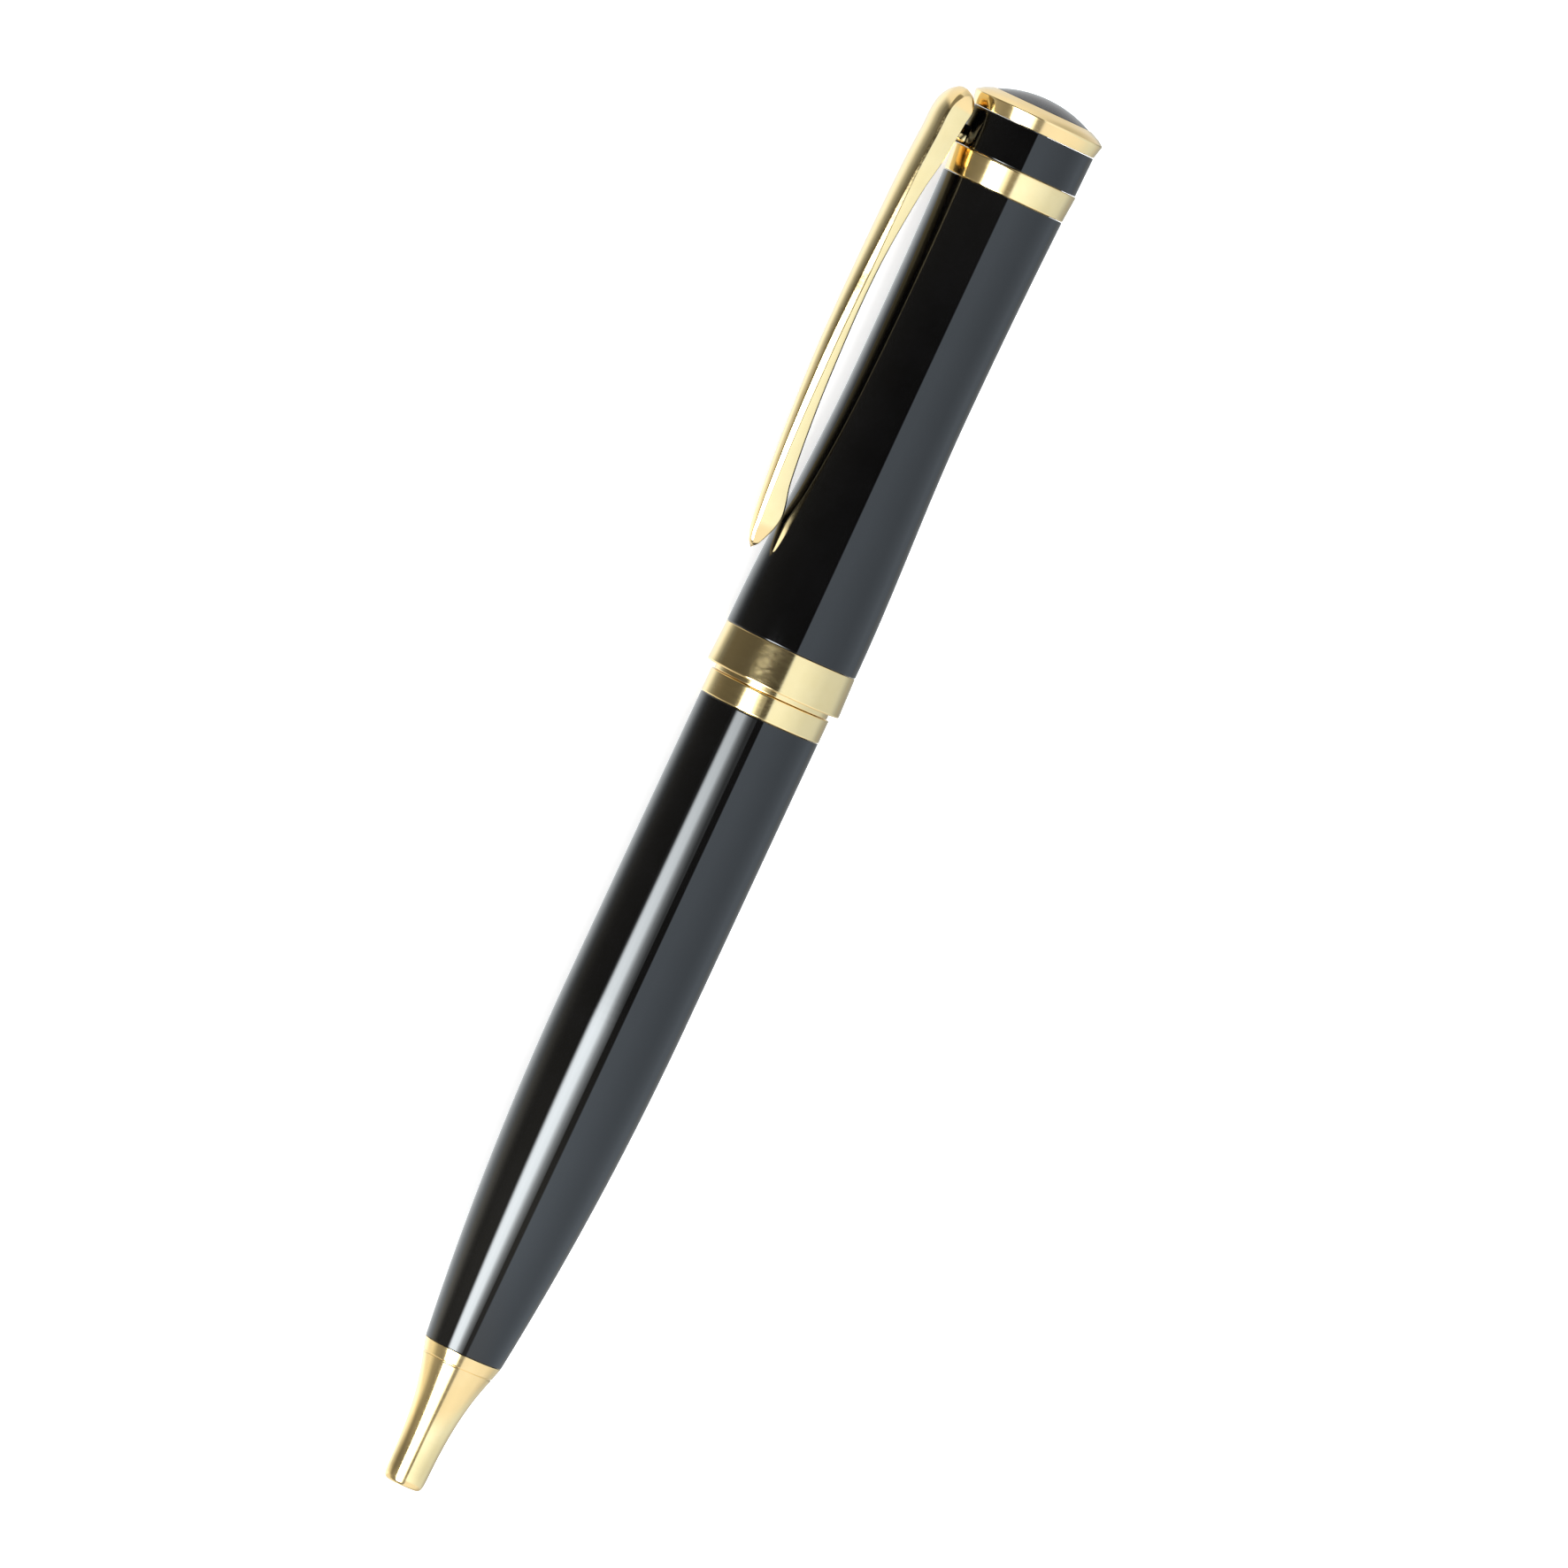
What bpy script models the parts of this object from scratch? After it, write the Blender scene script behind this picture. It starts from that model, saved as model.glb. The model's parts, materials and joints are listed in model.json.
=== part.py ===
"""A twist-action rollerball pen, lying on its centre band and clip.

Every piece is turned or lofted about the pen's own axis, local Z, with height 0 at the nose end
and the clip in the local XY plane's lower left. The empty pen_axis lays that frame down: the nose
points along +X, the cap along -X and the clip towards -Y and the table.
"""

import math

import bmesh
import bpy
from mathutils import Matrix, Vector

MM = 0.001

# Smoothness of the round pieces
SIDES_OUTER = 32
SIDES_INNER = 24
SIDES_SMALL = 16

# Gaps between pieces
SEAT_GAP = 0.05 * MM  # between faces that are pressed, screwed or glued together
RUNNING_GAP = 0.10 * MM  # between a turning or sliding piece and its guide
EDGE = 0.12 * MM  # small chamfer on the metal rings

# Heights along the pen, from the nose end
NOSE_LENGTH = 13.2 * MM
LOWER_BARREL_LENGTH = 63.3 * MM
LOWER_RING_LENGTH = 2.25 * MM
BAND_GAP = 0.55 * MM  # the turning gap between the two halves
BAND_LENGTH = 3.87 * MM
UPPER_BARREL_LENGTH = 45.08 * MM
TRIM_RING_LENGTH = 2.54 * MM
COLLAR_LENGTH = 3.78 * MM
BEZEL_LENGTH = 2.1 * MM
CABOCHON_RISE = 1.0 * MM

# Outer radii
NOSE_END_R = 1.92 * MM
NOSE_CREASE_R = 3.36 * MM
LOWER_BARREL_TIP_R = 3.75 * MM
LOWER_BARREL_R = 5.81 * MM
LOWER_BARREL_ARC_R = 300.0 * MM
LOWER_RING_R = 5.83 * MM
NECK_R = 5.60 * MM
BAND_LOW_R = 6.52 * MM
BAND_TOP_R = 6.37 * MM
WAIST_R = 5.60 * MM
UPPER_BARREL_TOP_R = 5.87 * MM
TRIM_RING_R = 5.93 * MM
COLLAR_LOW_R = 5.95 * MM
COLLAR_TOP_R = 6.0 * MM
BEZEL_R = 6.3 * MM
CABOCHON_R = 4.55 * MM
WAIST_FROM_BAND = 25.7 * MM  # height of the waist above the centre band

# Refill: the slim-nosed format, whose length of 98 mm follows from the heights below
REFILL_R = 2.9 * MM
REFILL_NECK_R = 1.55 * MM
REFILL_NECK_LENGTH = 24.0 * MM
REFILL_SHANK_R = 1.15 * MM
REFILL_WALL = 0.35 * MM
REFILL_RECESS = 1.2 * MM  # how far the point sits inside the nose when it is retracted
BALL_R = 0.35 * MM
PLUG_LENGTH = 4.0 * MM

# Front half
NOSE_BORE_R = REFILL_SHANK_R + RUNNING_GAP
NOSE_STEP_R = REFILL_NECK_R + 2.0 * RUNNING_GAP
NOSE_TUBE_LENGTH = 5.0 * MM  # the nearly straight part of the nose
NOSE_RING_LENGTH = 1.25 * MM  # the short ring at the nose's root
NOSE_STEP_LENGTH = 1.8 * MM
SPRING_SEAT_DEPTH = 2.4 * MM  # spring shoulder below the nose's root
SPRING_CHAMBER_R = 2.45 * MM
NOSE_SPIGOT_R = 3.3 * MM
NOSE_SPIGOT_LENGTH = 7.0 * MM
BARREL_BORE_R = REFILL_R + 0.25 * MM
BARREL_NARROW_LENGTH = 16.8 * MM  # narrow bore at the nose end of the lower barrel
INSERT_LENGTH = 14.0 * MM
INSERT_WALL = 0.6 * MM

# Return spring
SPRING_WIRE_R = 0.18 * MM
SPRING_R = 1.98 * MM
SPRING_TURNS = 9
SPRING_STEPS = 12
SPRING_WIRE_SIDES = 6

# Twist mechanism
TWIST_DEG = 150.0
TWIST_STROKE = 4.0 * MM
BUSH_BORE_R = REFILL_R + 0.25 * MM
BUSH_SPIGOT_R = BUSH_BORE_R + 0.7 * MM
BUSH_SPIGOT_LENGTH = 11.0 * MM
BUSH_FLANGE_LENGTH = 2.3 * MM
BUSH_HUB_LENGTH = 4.2 * MM
BUSH_TUBE_R = BUSH_BORE_R + 0.6 * MM
BUSH_ABOVE_RETAINER = 1.65 * MM
SLEEVE_WALL = 0.7 * MM
SLEEVE_BORE_R = BUSH_TUBE_R + RUNNING_GAP
SLEEVE_R = SLEEVE_BORE_R + SLEEVE_WALL
SLEEVE_ABOVE_BUSH = 2.0 * MM
SLEEVE_STEP_R = BUSH_TUBE_R + 0.5 * MM  # wide bore above the retaining ring's shoulder
BUSH_HUB_R = SLEEVE_R - RUNNING_GAP
THREAD_TURNS = 6
THREAD_DEPTH = 0.22 * MM
O_RING_R = 0.36 * MM
O_RING_GROOVE_R = BUSH_HUB_R - 2.0 * O_RING_R
O_RING_HEIGHT = 1.95 * MM  # middle of the groove above the flange
RETAINER_THICK = 0.6 * MM
RETAINER_R = SLEEVE_STEP_R - 0.13 * MM
RETAINER_BORE_R = BUSH_TUBE_R - 0.25 * MM
PIN_R = 0.55 * MM
PIN_LENGTH = 2.0 * (SLEEVE_R - 0.15 * MM)
PIN_SLOT_GAP = 0.10 * MM
PIN_BELOW_RETAINER = 4.35 * MM
PIN_ABOVE_PUSHER = 6.7 * MM
PUSHER_ABOVE_PIN = 2.2 * MM
PUSHER_GAP = 0.1 * MM

# Cap fittings
BAND_SPIGOT_WALL = 0.6 * MM
BAND_SPIGOT_LENGTH = 4.7 * MM
TOP_INSERT_R = SLEEVE_R + SEAT_GAP
TOP_INSERT_DEPTH = 9.4 * MM  # how far the insert reaches down the upper barrel
TOP_INSERT_ABOVE_SLEEVE = 5.0 * MM
SCREW_R = 1.4 * MM
SCREW_HEAD_R = 2.6 * MM
SCREW_HEAD_LENGTH = 0.75 * MM
SCREW_LENGTH = 9.0 * MM
BEZEL_FLOOR = 0.6 * MM
CABOCHON_SEAT = 0.55 * MM

# Clip
CLIP_REACH = 9.82 * MM  # furthest the clip stands from the axis
CLIP_TIP_ABOVE_BAND = 6.9 * MM
CLIP_BELOW_TOP = 1.15 * MM  # apex of the clip, below the bezel's top
CLIP_OPEN_DEG = 4.0
CLIP_FOOT_HALF_WIDTH = 1.2 * MM
CLIP_SLOT_HALF_WIDTH = CLIP_FOOT_HALF_WIDTH + RUNNING_GAP
CLIP_PIN_R = 0.40 * MM
CLIP_PIN_FROM_AXIS = 3.5 * MM
CLIP_PIN_HALF_LENGTH = 2.15 * MM
CLIP_PIN_ABOVE_RING = 0.74 * MM
CLIP_KNUCKLE_HALF = 1.05 * MM
CLIP_KNUCKLE_IN = 2.35 * MM
CLIP_KNUCKLE_OUT = 4.4 * MM
CLIP_NECK_LOW = 0.2 * MM  # underside of the clip's neck above the trim ring
CLIP_NECK_THICK = 1.35 * MM
CLIP_LEG_IN = 6.45 * MM
CLIP_LEG_OUT = 7.25 * MM
CLIP_CROWN = 1.7 * MM  # most depth of the rounded outer part of the blade's section
CLIP_JOIN_DEPTH = 1.37 * MM  # how deep in the blade's head the leg starts
LEAF_THICK = 0.15 * MM
LEAF_HALF_WIDTH = 1.0 * MM
LEAF_RISE = 0.27 * MM
LEAF_HALF_LENGTH = 0.95 * MM
LEAF_BELOW_KNUCKLE = 0.08 * MM
LEAF_ABOVE_SLOT = 0.04 * MM

# Heights that follow
LOWER_BARREL_LOW = NOSE_LENGTH + SEAT_GAP
LOWER_RING_LOW = LOWER_BARREL_LOW + LOWER_BARREL_LENGTH + SEAT_GAP
LOWER_RING_TOP = LOWER_RING_LOW + LOWER_RING_LENGTH
BAND_LOW = LOWER_RING_TOP + BAND_GAP
BAND_TOP = BAND_LOW + BAND_LENGTH
UPPER_BARREL_LOW = BAND_TOP + SEAT_GAP
UPPER_BARREL_TOP = UPPER_BARREL_LOW + UPPER_BARREL_LENGTH
TRIM_RING_LOW = UPPER_BARREL_TOP + SEAT_GAP
TRIM_RING_TOP = TRIM_RING_LOW + TRIM_RING_LENGTH
COLLAR_LOW = TRIM_RING_TOP + SEAT_GAP
COLLAR_TOP = COLLAR_LOW + COLLAR_LENGTH
BEZEL_LOW = COLLAR_TOP + SEAT_GAP
BEZEL_TOP = BEZEL_LOW + BEZEL_LENGTH
PEN_LENGTH = BEZEL_TOP + CABOCHON_RISE
WAIST = BAND_TOP + WAIST_FROM_BAND

SPRING_SEAT = NOSE_LENGTH - SPRING_SEAT_DEPTH
NOSE_BORE_LENGTH = SPRING_SEAT - NOSE_STEP_LENGTH
BUSH_FLANGE_LOW = LOWER_RING_TOP + SEAT_GAP
BUSH_HUB_LOW = BUSH_FLANGE_LOW + BUSH_FLANGE_LENGTH
BUSH_TUBE_LOW = BUSH_HUB_LOW + BUSH_HUB_LENGTH
O_RING_MID = BUSH_HUB_LOW + O_RING_HEIGHT
TOP_INSERT_LOW = UPPER_BARREL_TOP - TOP_INSERT_DEPTH
SLEEVE_LOW = BUSH_TUBE_LOW + 0.6 * MM
SLEEVE_TOP = TOP_INSERT_LOW - TOP_INSERT_ABOVE_SLEEVE
BUSH_TOP = SLEEVE_TOP - SLEEVE_ABOVE_BUSH
RETAINER_MID = BUSH_TOP - BUSH_ABOVE_RETAINER
PIN_HEIGHT = RETAINER_MID - PIN_BELOW_RETAINER
PUSHER_LOW = PIN_HEIGHT - PIN_ABOVE_PUSHER
REFILL_LOW = REFILL_RECESS
REFILL_TOP = PUSHER_LOW - PUSHER_GAP
REFILL_STEP = REFILL_LOW + REFILL_NECK_LENGTH
REFILL_SHANK_TOP = NOSE_BORE_LENGTH + TWIST_STROKE + 2.0 * RUNNING_GAP

# Radii that follow
CAP_BORE_R = SLEEVE_R + SEAT_GAP
BAND_SPIGOT_R = CAP_BORE_R + BAND_SPIGOT_WALL
INSERT_BORE_R = BUSH_SPIGOT_R + RUNNING_GAP
INSERT_R = INSERT_BORE_R + INSERT_WALL
BARREL_WIDE_BORE_R = INSERT_R - 3.0 * SEAT_GAP

CLIP_PIN_HEIGHT = TRIM_RING_TOP + CLIP_PIN_ABOVE_RING
CLIP_KNUCKLE_LOW = CLIP_PIN_HEIGHT - CLIP_KNUCKLE_HALF
CLIP_KNUCKLE_TOP = CLIP_PIN_HEIGHT + CLIP_KNUCKLE_HALF
CLIP_NECK_BOTTOM = TRIM_RING_TOP + CLIP_NECK_LOW
CLIP_NECK_TOP = CLIP_NECK_BOTTOM + CLIP_NECK_THICK
CLIP_SWING = (CLIP_LEG_IN - CLIP_PIN_FROM_AXIS) * math.sin(math.radians(CLIP_OPEN_DEG))
LEAF_LOW = CLIP_KNUCKLE_LOW - LEAF_BELOW_KNUCKLE - LEAF_RISE - LEAF_THICK
CLIP_TIP = BAND_TOP + CLIP_TIP_ABOVE_BAND
CLIP_APEX = BEZEL_TOP - CLIP_BELOW_TOP


def clear_scene():
    for old in list(bpy.data.objects):
        bpy.data.objects.remove(old, do_unlink=True)


def finish_material(name, colour, roughness, metallic, coat=0.0):
    material = bpy.data.materials.new(name)
    material.use_nodes = True
    shader = material.node_tree.nodes["Principled BSDF"]
    shader.inputs["Base Color"].default_value = (*colour, 1.0)
    shader.inputs["Roughness"].default_value = roughness
    shader.inputs["Metallic"].default_value = metallic
    shader.inputs["Coat Weight"].default_value = coat
    material.diffuse_color = (*colour, 1.0)
    return material


def gold(name):
    return finish_material(name, (0.90, 0.71, 0.36), 0.12, 1.0)


def brass(name):
    return finish_material(name, (0.72, 0.53, 0.25), 0.35, 1.0)


def steel(name):
    return finish_material(name, (0.56, 0.57, 0.58), 0.25, 1.0)


def black_lacquer(name):
    return finish_material(name, (0.006, 0.006, 0.007), 0.05, 0.0, coat=1.0)


def plastic(name, colour):
    return finish_material(name, colour, 0.4, 0.0)


def empty(name, parent=None, location=(0.0, 0.0, 0.0)):
    holder = bpy.data.objects.new(name, None)
    bpy.context.scene.collection.objects.link(holder)
    holder.parent = parent
    holder.location = location
    return holder


def as_object(name, bm, material, parent, smooth_deg=35.0):
    """Turns a bmesh into a named object with its faces pointing out."""
    bmesh.ops.recalc_face_normals(bm, faces=bm.faces)
    mesh = bpy.data.meshes.new(name)
    bm.to_mesh(mesh)
    bm.free()
    mesh.shade_smooth()
    mesh.set_sharp_from_angle(angle=math.radians(smooth_deg))
    if material:
        mesh.materials.append(material)
    made = bpy.data.objects.new(name, mesh)
    bpy.context.scene.collection.objects.link(made)
    made.parent = parent
    return made


def loft(bm, rings, closed=False):
    """Joins rings of vertices with faces; a ring of one vertex is a point. Open ends are capped."""
    pairs = list(zip(rings, rings[1:]))
    if closed:
        pairs.append((rings[-1], rings[0]))
    for low, high in pairs:
        count = max(len(low), len(high))
        for i in range(count):
            j = (i + 1) % count
            corners = [low[i % len(low)], low[j % len(low)], high[j % len(high)], high[i % len(high)]]
            bm.faces.new(list(dict.fromkeys(corners)))
    if closed:
        return
    for end in (rings[0], rings[-1]):
        if len(end) > 2:
            bm.faces.new(end)


def turned(name, outline, material, parent, sides=SIDES_INNER, hollow=True):
    """A lathe piece. The outline is (radius, height) points: a closed loop when hollow, and
    otherwise a line that starts and ends on the axis."""
    bm = bmesh.new()
    rings = []
    for radius, height in outline:
        if radius == 0.0:
            rings.append([bm.verts.new((0.0, 0.0, height))])
            continue
        turn = [2.0 * math.pi * i / sides for i in range(sides)]
        rings.append([bm.verts.new((radius * math.cos(t), radius * math.sin(t), height)) for t in turn])
    loft(bm, rings, closed=hollow)
    return as_object(name, bm, material, parent)


def cutter(name, bm, parent):
    guide = as_object(name, bm, None, parent)
    guide.hide_render = True
    guide.display_type = "WIRE"
    return guide


def boolean(target, tool, operation="DIFFERENCE"):
    step = target.modifiers.new(tool.name, "BOOLEAN")
    step.operation = operation
    step.solver = "EXACT"
    step.object = tool


def box(bm, low, high):
    """A box between two corners."""
    size = Vector(high) - Vector(low)
    middle = (Vector(high) + Vector(low)) / 2.0
    place = Matrix.Translation(middle) @ Matrix.Diagonal((*size, 1.0))
    bmesh.ops.create_cube(bm, size=1.0, matrix=place)


def rod(bm, radius, start, end, sides=SIDES_SMALL):
    """A plain round rod between two points."""
    start, end = Vector(start), Vector(end)
    along = end - start
    place = Matrix.Translation((start + end) / 2.0) @ along.to_track_quat("Z", "Y").to_matrix().to_4x4()
    bmesh.ops.create_cone(
        bm, cap_ends=True, segments=sides, radius1=radius, radius2=radius, depth=along.length, matrix=place
    )


def prism(bm, outline, half_width):
    """An outline in the (radius, height) plane given width both ways across the clip's plane."""
    near = [bm.verts.new((r, -half_width, h)) for r, h in outline]
    far = [bm.verts.new((r, half_width, h)) for r, h in outline]
    loft(bm, [near, far])


def blend_curve(points, x):
    """Reads a smooth curve through (x, y) points, with Catmull-Rom slopes."""
    last = len(points) - 2
    k = 0
    while k < last and x > points[k + 1][0]:
        k += 1
    before = points[max(k - 1, 0)]
    here, there = points[k], points[k + 1]
    after = points[min(k + 2, last + 1)]
    span = there[0] - here[0]
    t = (x - here[0]) / span
    slope_here = (there[1] - before[1]) / (there[0] - before[0]) * span
    slope_there = (after[1] - here[1]) / (after[0] - here[0]) * span
    return (
        here[1] * (2 * t**3 - 3 * t**2 + 1)
        + slope_here * (t**3 - 2 * t**2 + t)
        + there[1] * (3 * t**2 - 2 * t**3)
        + slope_there * (t**3 - t**2)
    )


def barrel_radius(height):
    """The lower barrel: straight at the ring end, then one long arc down to the nose."""
    drop = LOWER_BARREL_R - LOWER_BARREL_TIP_R
    arc_start = LOWER_BARREL_LOW + math.sqrt(LOWER_BARREL_ARC_R**2 - (LOWER_BARREL_ARC_R - drop) ** 2)
    below = max(arc_start - height, 0.0)
    return LOWER_BARREL_R - (LOWER_BARREL_ARC_R - math.sqrt(LOWER_BARREL_ARC_R**2 - below**2))


def cap_radius(height):
    """The upper barrel: a soft flare at the band, a waist, and a gentle flare to the top."""
    if height < WAIST:
        share = (height - BAND_TOP) / WAIST_FROM_BAND
        swell = (1.0 + math.cos(math.pi * share)) / 2.0
        return WAIST_R + (BAND_TOP_R - WAIST_R) * swell
    share = (height - WAIST) / (UPPER_BARREL_TOP - WAIST)
    return WAIST_R + (UPPER_BARREL_TOP_R - WAIST_R) * share**2


def spaced(low, high, count):
    return [low + (high - low) * i / (count - 1) for i in range(count)]


def nose_cone(parent):
    flare = NOSE_LENGTH - NOSE_RING_LENGTH - NOSE_TUBE_LENGTH
    outside = [(NOSE_END_R - EDGE, 0.0), (NOSE_END_R, EDGE)]
    for share in spaced(0.0, 1.0, 7):
        swell = 0.35 * share + 0.65 * share**2
        outside.append((NOSE_END_R + (NOSE_CREASE_R - NOSE_END_R) * swell, NOSE_TUBE_LENGTH + flare * share))
    outside += [
        (LOWER_BARREL_TIP_R, NOSE_LENGTH),
        (NOSE_SPIGOT_R, NOSE_LENGTH),
        (NOSE_SPIGOT_R, NOSE_LENGTH + NOSE_SPIGOT_LENGTH),
    ]
    inside = [
        (SPRING_CHAMBER_R, NOSE_LENGTH + NOSE_SPIGOT_LENGTH),
        (SPRING_CHAMBER_R, SPRING_SEAT),
        (NOSE_STEP_R, SPRING_SEAT),
        (NOSE_STEP_R, NOSE_BORE_LENGTH),
        (NOSE_BORE_R, NOSE_BORE_LENGTH),
        (NOSE_BORE_R, 0.0),
    ]
    return turned("nose_cone", outside + inside, gold("nose_gold"), parent, SIDES_OUTER)


def lower_barrel(parent):
    top = LOWER_BARREL_LOW + LOWER_BARREL_LENGTH
    spigot_room = NOSE_LENGTH + NOSE_SPIGOT_LENGTH + SEAT_GAP
    insert_low = LOWER_RING_TOP - INSERT_LENGTH - SEAT_GAP
    wide_low = LOWER_BARREL_LOW + BARREL_NARROW_LENGTH
    outside = [(barrel_radius(h), h) for h in spaced(LOWER_BARREL_LOW, top, 12)]
    inside = [
        (INSERT_R + SEAT_GAP, top),
        (INSERT_R + SEAT_GAP, insert_low),
        (BARREL_WIDE_BORE_R, insert_low),
        (BARREL_WIDE_BORE_R, wide_low),
        (BARREL_BORE_R, wide_low),
        (BARREL_BORE_R, spigot_room),
        (NOSE_SPIGOT_R + SEAT_GAP, spigot_room),
        (NOSE_SPIGOT_R + SEAT_GAP, LOWER_BARREL_LOW),
    ]
    return turned("lower_barrel", outside + inside, black_lacquer("lower_lacquer"), parent, SIDES_OUTER)


def barrel_thread_insert(parent):
    low = LOWER_RING_TOP - INSERT_LENGTH
    outline = [
        (INSERT_BORE_R, low),
        (INSERT_R, low),
        (INSERT_R, LOWER_RING_TOP),
        (INSERT_BORE_R, LOWER_RING_TOP),
    ]
    return turned("barrel_thread_insert", outline, brass("insert_brass"), parent)


def ring(name, low, high, low_r, high_r, bore_r, material, parent):
    """A metal ring with small chamfers on its two outer edges."""
    outline = [
        (bore_r, low),
        (low_r - EDGE, low),
        (low_r, low + EDGE),
        (high_r, high - EDGE),
        (high_r - EDGE, high),
        (bore_r, high),
    ]
    return turned(name, outline, material, parent, SIDES_OUTER)


def return_spring(parent):
    """An open-coiled compression spring between the nose's shoulder and the refill's step."""
    low = SPRING_SEAT + SPRING_WIRE_R + SEAT_GAP
    high = REFILL_STEP - SPRING_WIRE_R - SEAT_GAP
    steps = SPRING_TURNS * SPRING_STEPS
    bm = bmesh.new()
    rings = []
    for i in range(steps + 1):
        turn = 2.0 * math.pi * i / SPRING_STEPS
        height = low + (high - low) * i / steps
        ring_points = []
        for j in range(SPRING_WIRE_SIDES):
            around = 2.0 * math.pi * j / SPRING_WIRE_SIDES
            radius = SPRING_R + SPRING_WIRE_R * math.cos(around)
            lift = SPRING_WIRE_R * math.sin(around)
            x, y = radius * math.cos(turn), radius * math.sin(turn)
            ring_points.append(bm.verts.new((x, y, height + lift)))
        rings.append(ring_points)
    loft(bm, rings)
    return as_object("return_spring", bm, steel("spring_steel"), parent, 60.0)


def refill_ball(parent):
    bm = bmesh.new()
    place = Matrix.Translation((0.0, 0.0, REFILL_LOW + BALL_R))
    bmesh.ops.create_uvsphere(bm, u_segments=SIDES_SMALL, v_segments=8, radius=BALL_R, matrix=place)
    return as_object("refill_ball", bm, steel("ball_carbide"), parent, 60.0)


def refill_tip(parent):
    """The steel point: a socket for the ball, a cone, a slim shank and a thicker neck."""
    rim = REFILL_LOW + 0.55 * BALL_R
    socket = BALL_R + 0.03 * MM
    socket_floor = REFILL_LOW + 2.0 * BALL_R + 0.03 * MM
    shank_low = REFILL_LOW + 2.6 * MM
    spigot_top = REFILL_STEP + 4.0 * MM
    spigot_r = REFILL_R - REFILL_WALL - SEAT_GAP
    feed_r = 0.15 * MM
    feed_top = shank_low + 0.5 * MM
    bore_r = 0.6 * MM
    outline = [
        (socket - 0.02 * MM, rim),
        (socket + 0.06 * MM, rim),
        (REFILL_SHANK_R, shank_low),
        (REFILL_SHANK_R, REFILL_SHANK_TOP),
        (REFILL_NECK_R, REFILL_SHANK_TOP + 0.3 * MM),
        (REFILL_NECK_R, REFILL_STEP),
        (spigot_r, REFILL_STEP + SEAT_GAP),
        (spigot_r, spigot_top),
        (bore_r, spigot_top),
        (bore_r, feed_top),
        (feed_r, feed_top),
        (feed_r, socket_floor),
        (socket, socket_floor),
        (socket, REFILL_LOW + BALL_R),
    ]
    return turned("refill_tip", outline, steel("tip_steel"), parent, SIDES_INNER)


def refill_tube(parent):
    top = REFILL_TOP - PLUG_LENGTH / 2.0
    low = REFILL_STEP + 2.0 * SEAT_GAP
    wide = REFILL_R - REFILL_WALL
    outline = [
        (wide, low),
        (REFILL_R - EDGE, low),
        (REFILL_R, low + EDGE),
        (REFILL_R, top),
        (wide, top),
    ]
    return turned("refill_tube", outline, plastic("tube_plastic", (0.75, 0.76, 0.78)), parent)


def ink_reservoir(parent):
    """The fibre rod that holds the liquid ink."""
    low = REFILL_STEP + 4.2 * MM
    high = REFILL_TOP - PLUG_LENGTH - 0.5 * MM
    r = REFILL_R - REFILL_WALL - 0.1 * MM
    outline = [(0.0, low), (r, low), (r, high), (0.0, high)]
    fibre = plastic("ink_fibre", (0.02, 0.03, 0.12))
    return turned("ink_reservoir", outline, fibre, parent, SIDES_SMALL, hollow=False)


def refill_plug(parent):
    r_in = REFILL_R - REFILL_WALL - SEAT_GAP
    shoulder = REFILL_TOP - PLUG_LENGTH / 2.0 + SEAT_GAP
    outline = [
        (0.0, REFILL_TOP - PLUG_LENGTH),
        (r_in, REFILL_TOP - PLUG_LENGTH),
        (r_in, shoulder),
        (REFILL_R, shoulder),
        (REFILL_R, REFILL_TOP - EDGE),
        (REFILL_R - EDGE, REFILL_TOP),
        (0.0, REFILL_TOP),
    ]
    return turned("refill_plug", outline, plastic("plug_plastic", (0.05, 0.05, 0.06)), parent, hollow=False)


def cam_slot(name, start_deg, parent):
    """A helical slot through the bush's tube, swept along the cross pin's path."""
    half = PIN_R + PIN_SLOT_GAP
    rise = TWIST_STROKE / math.radians(TWIST_DEG)
    overrun = half / BUSH_TUBE_R
    bm = bmesh.new()
    rings = []
    for turn in spaced(-overrun, math.radians(TWIST_DEG) + overrun, 13):
        angle = math.radians(start_deg) - turn
        middle = PIN_HEIGHT - rise * turn
        inner, outer = BUSH_BORE_R - 0.4 * MM, BUSH_TUBE_R + 0.4 * MM
        corners = ((inner, -half), (outer, -half), (outer, half), (inner, half))
        c, s = math.cos(angle), math.sin(angle)
        rings.append([bm.verts.new((r * c, r * s, middle + z)) for r, z in corners])
    loft(bm, rings)
    return cutter(name, bm, parent)


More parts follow.
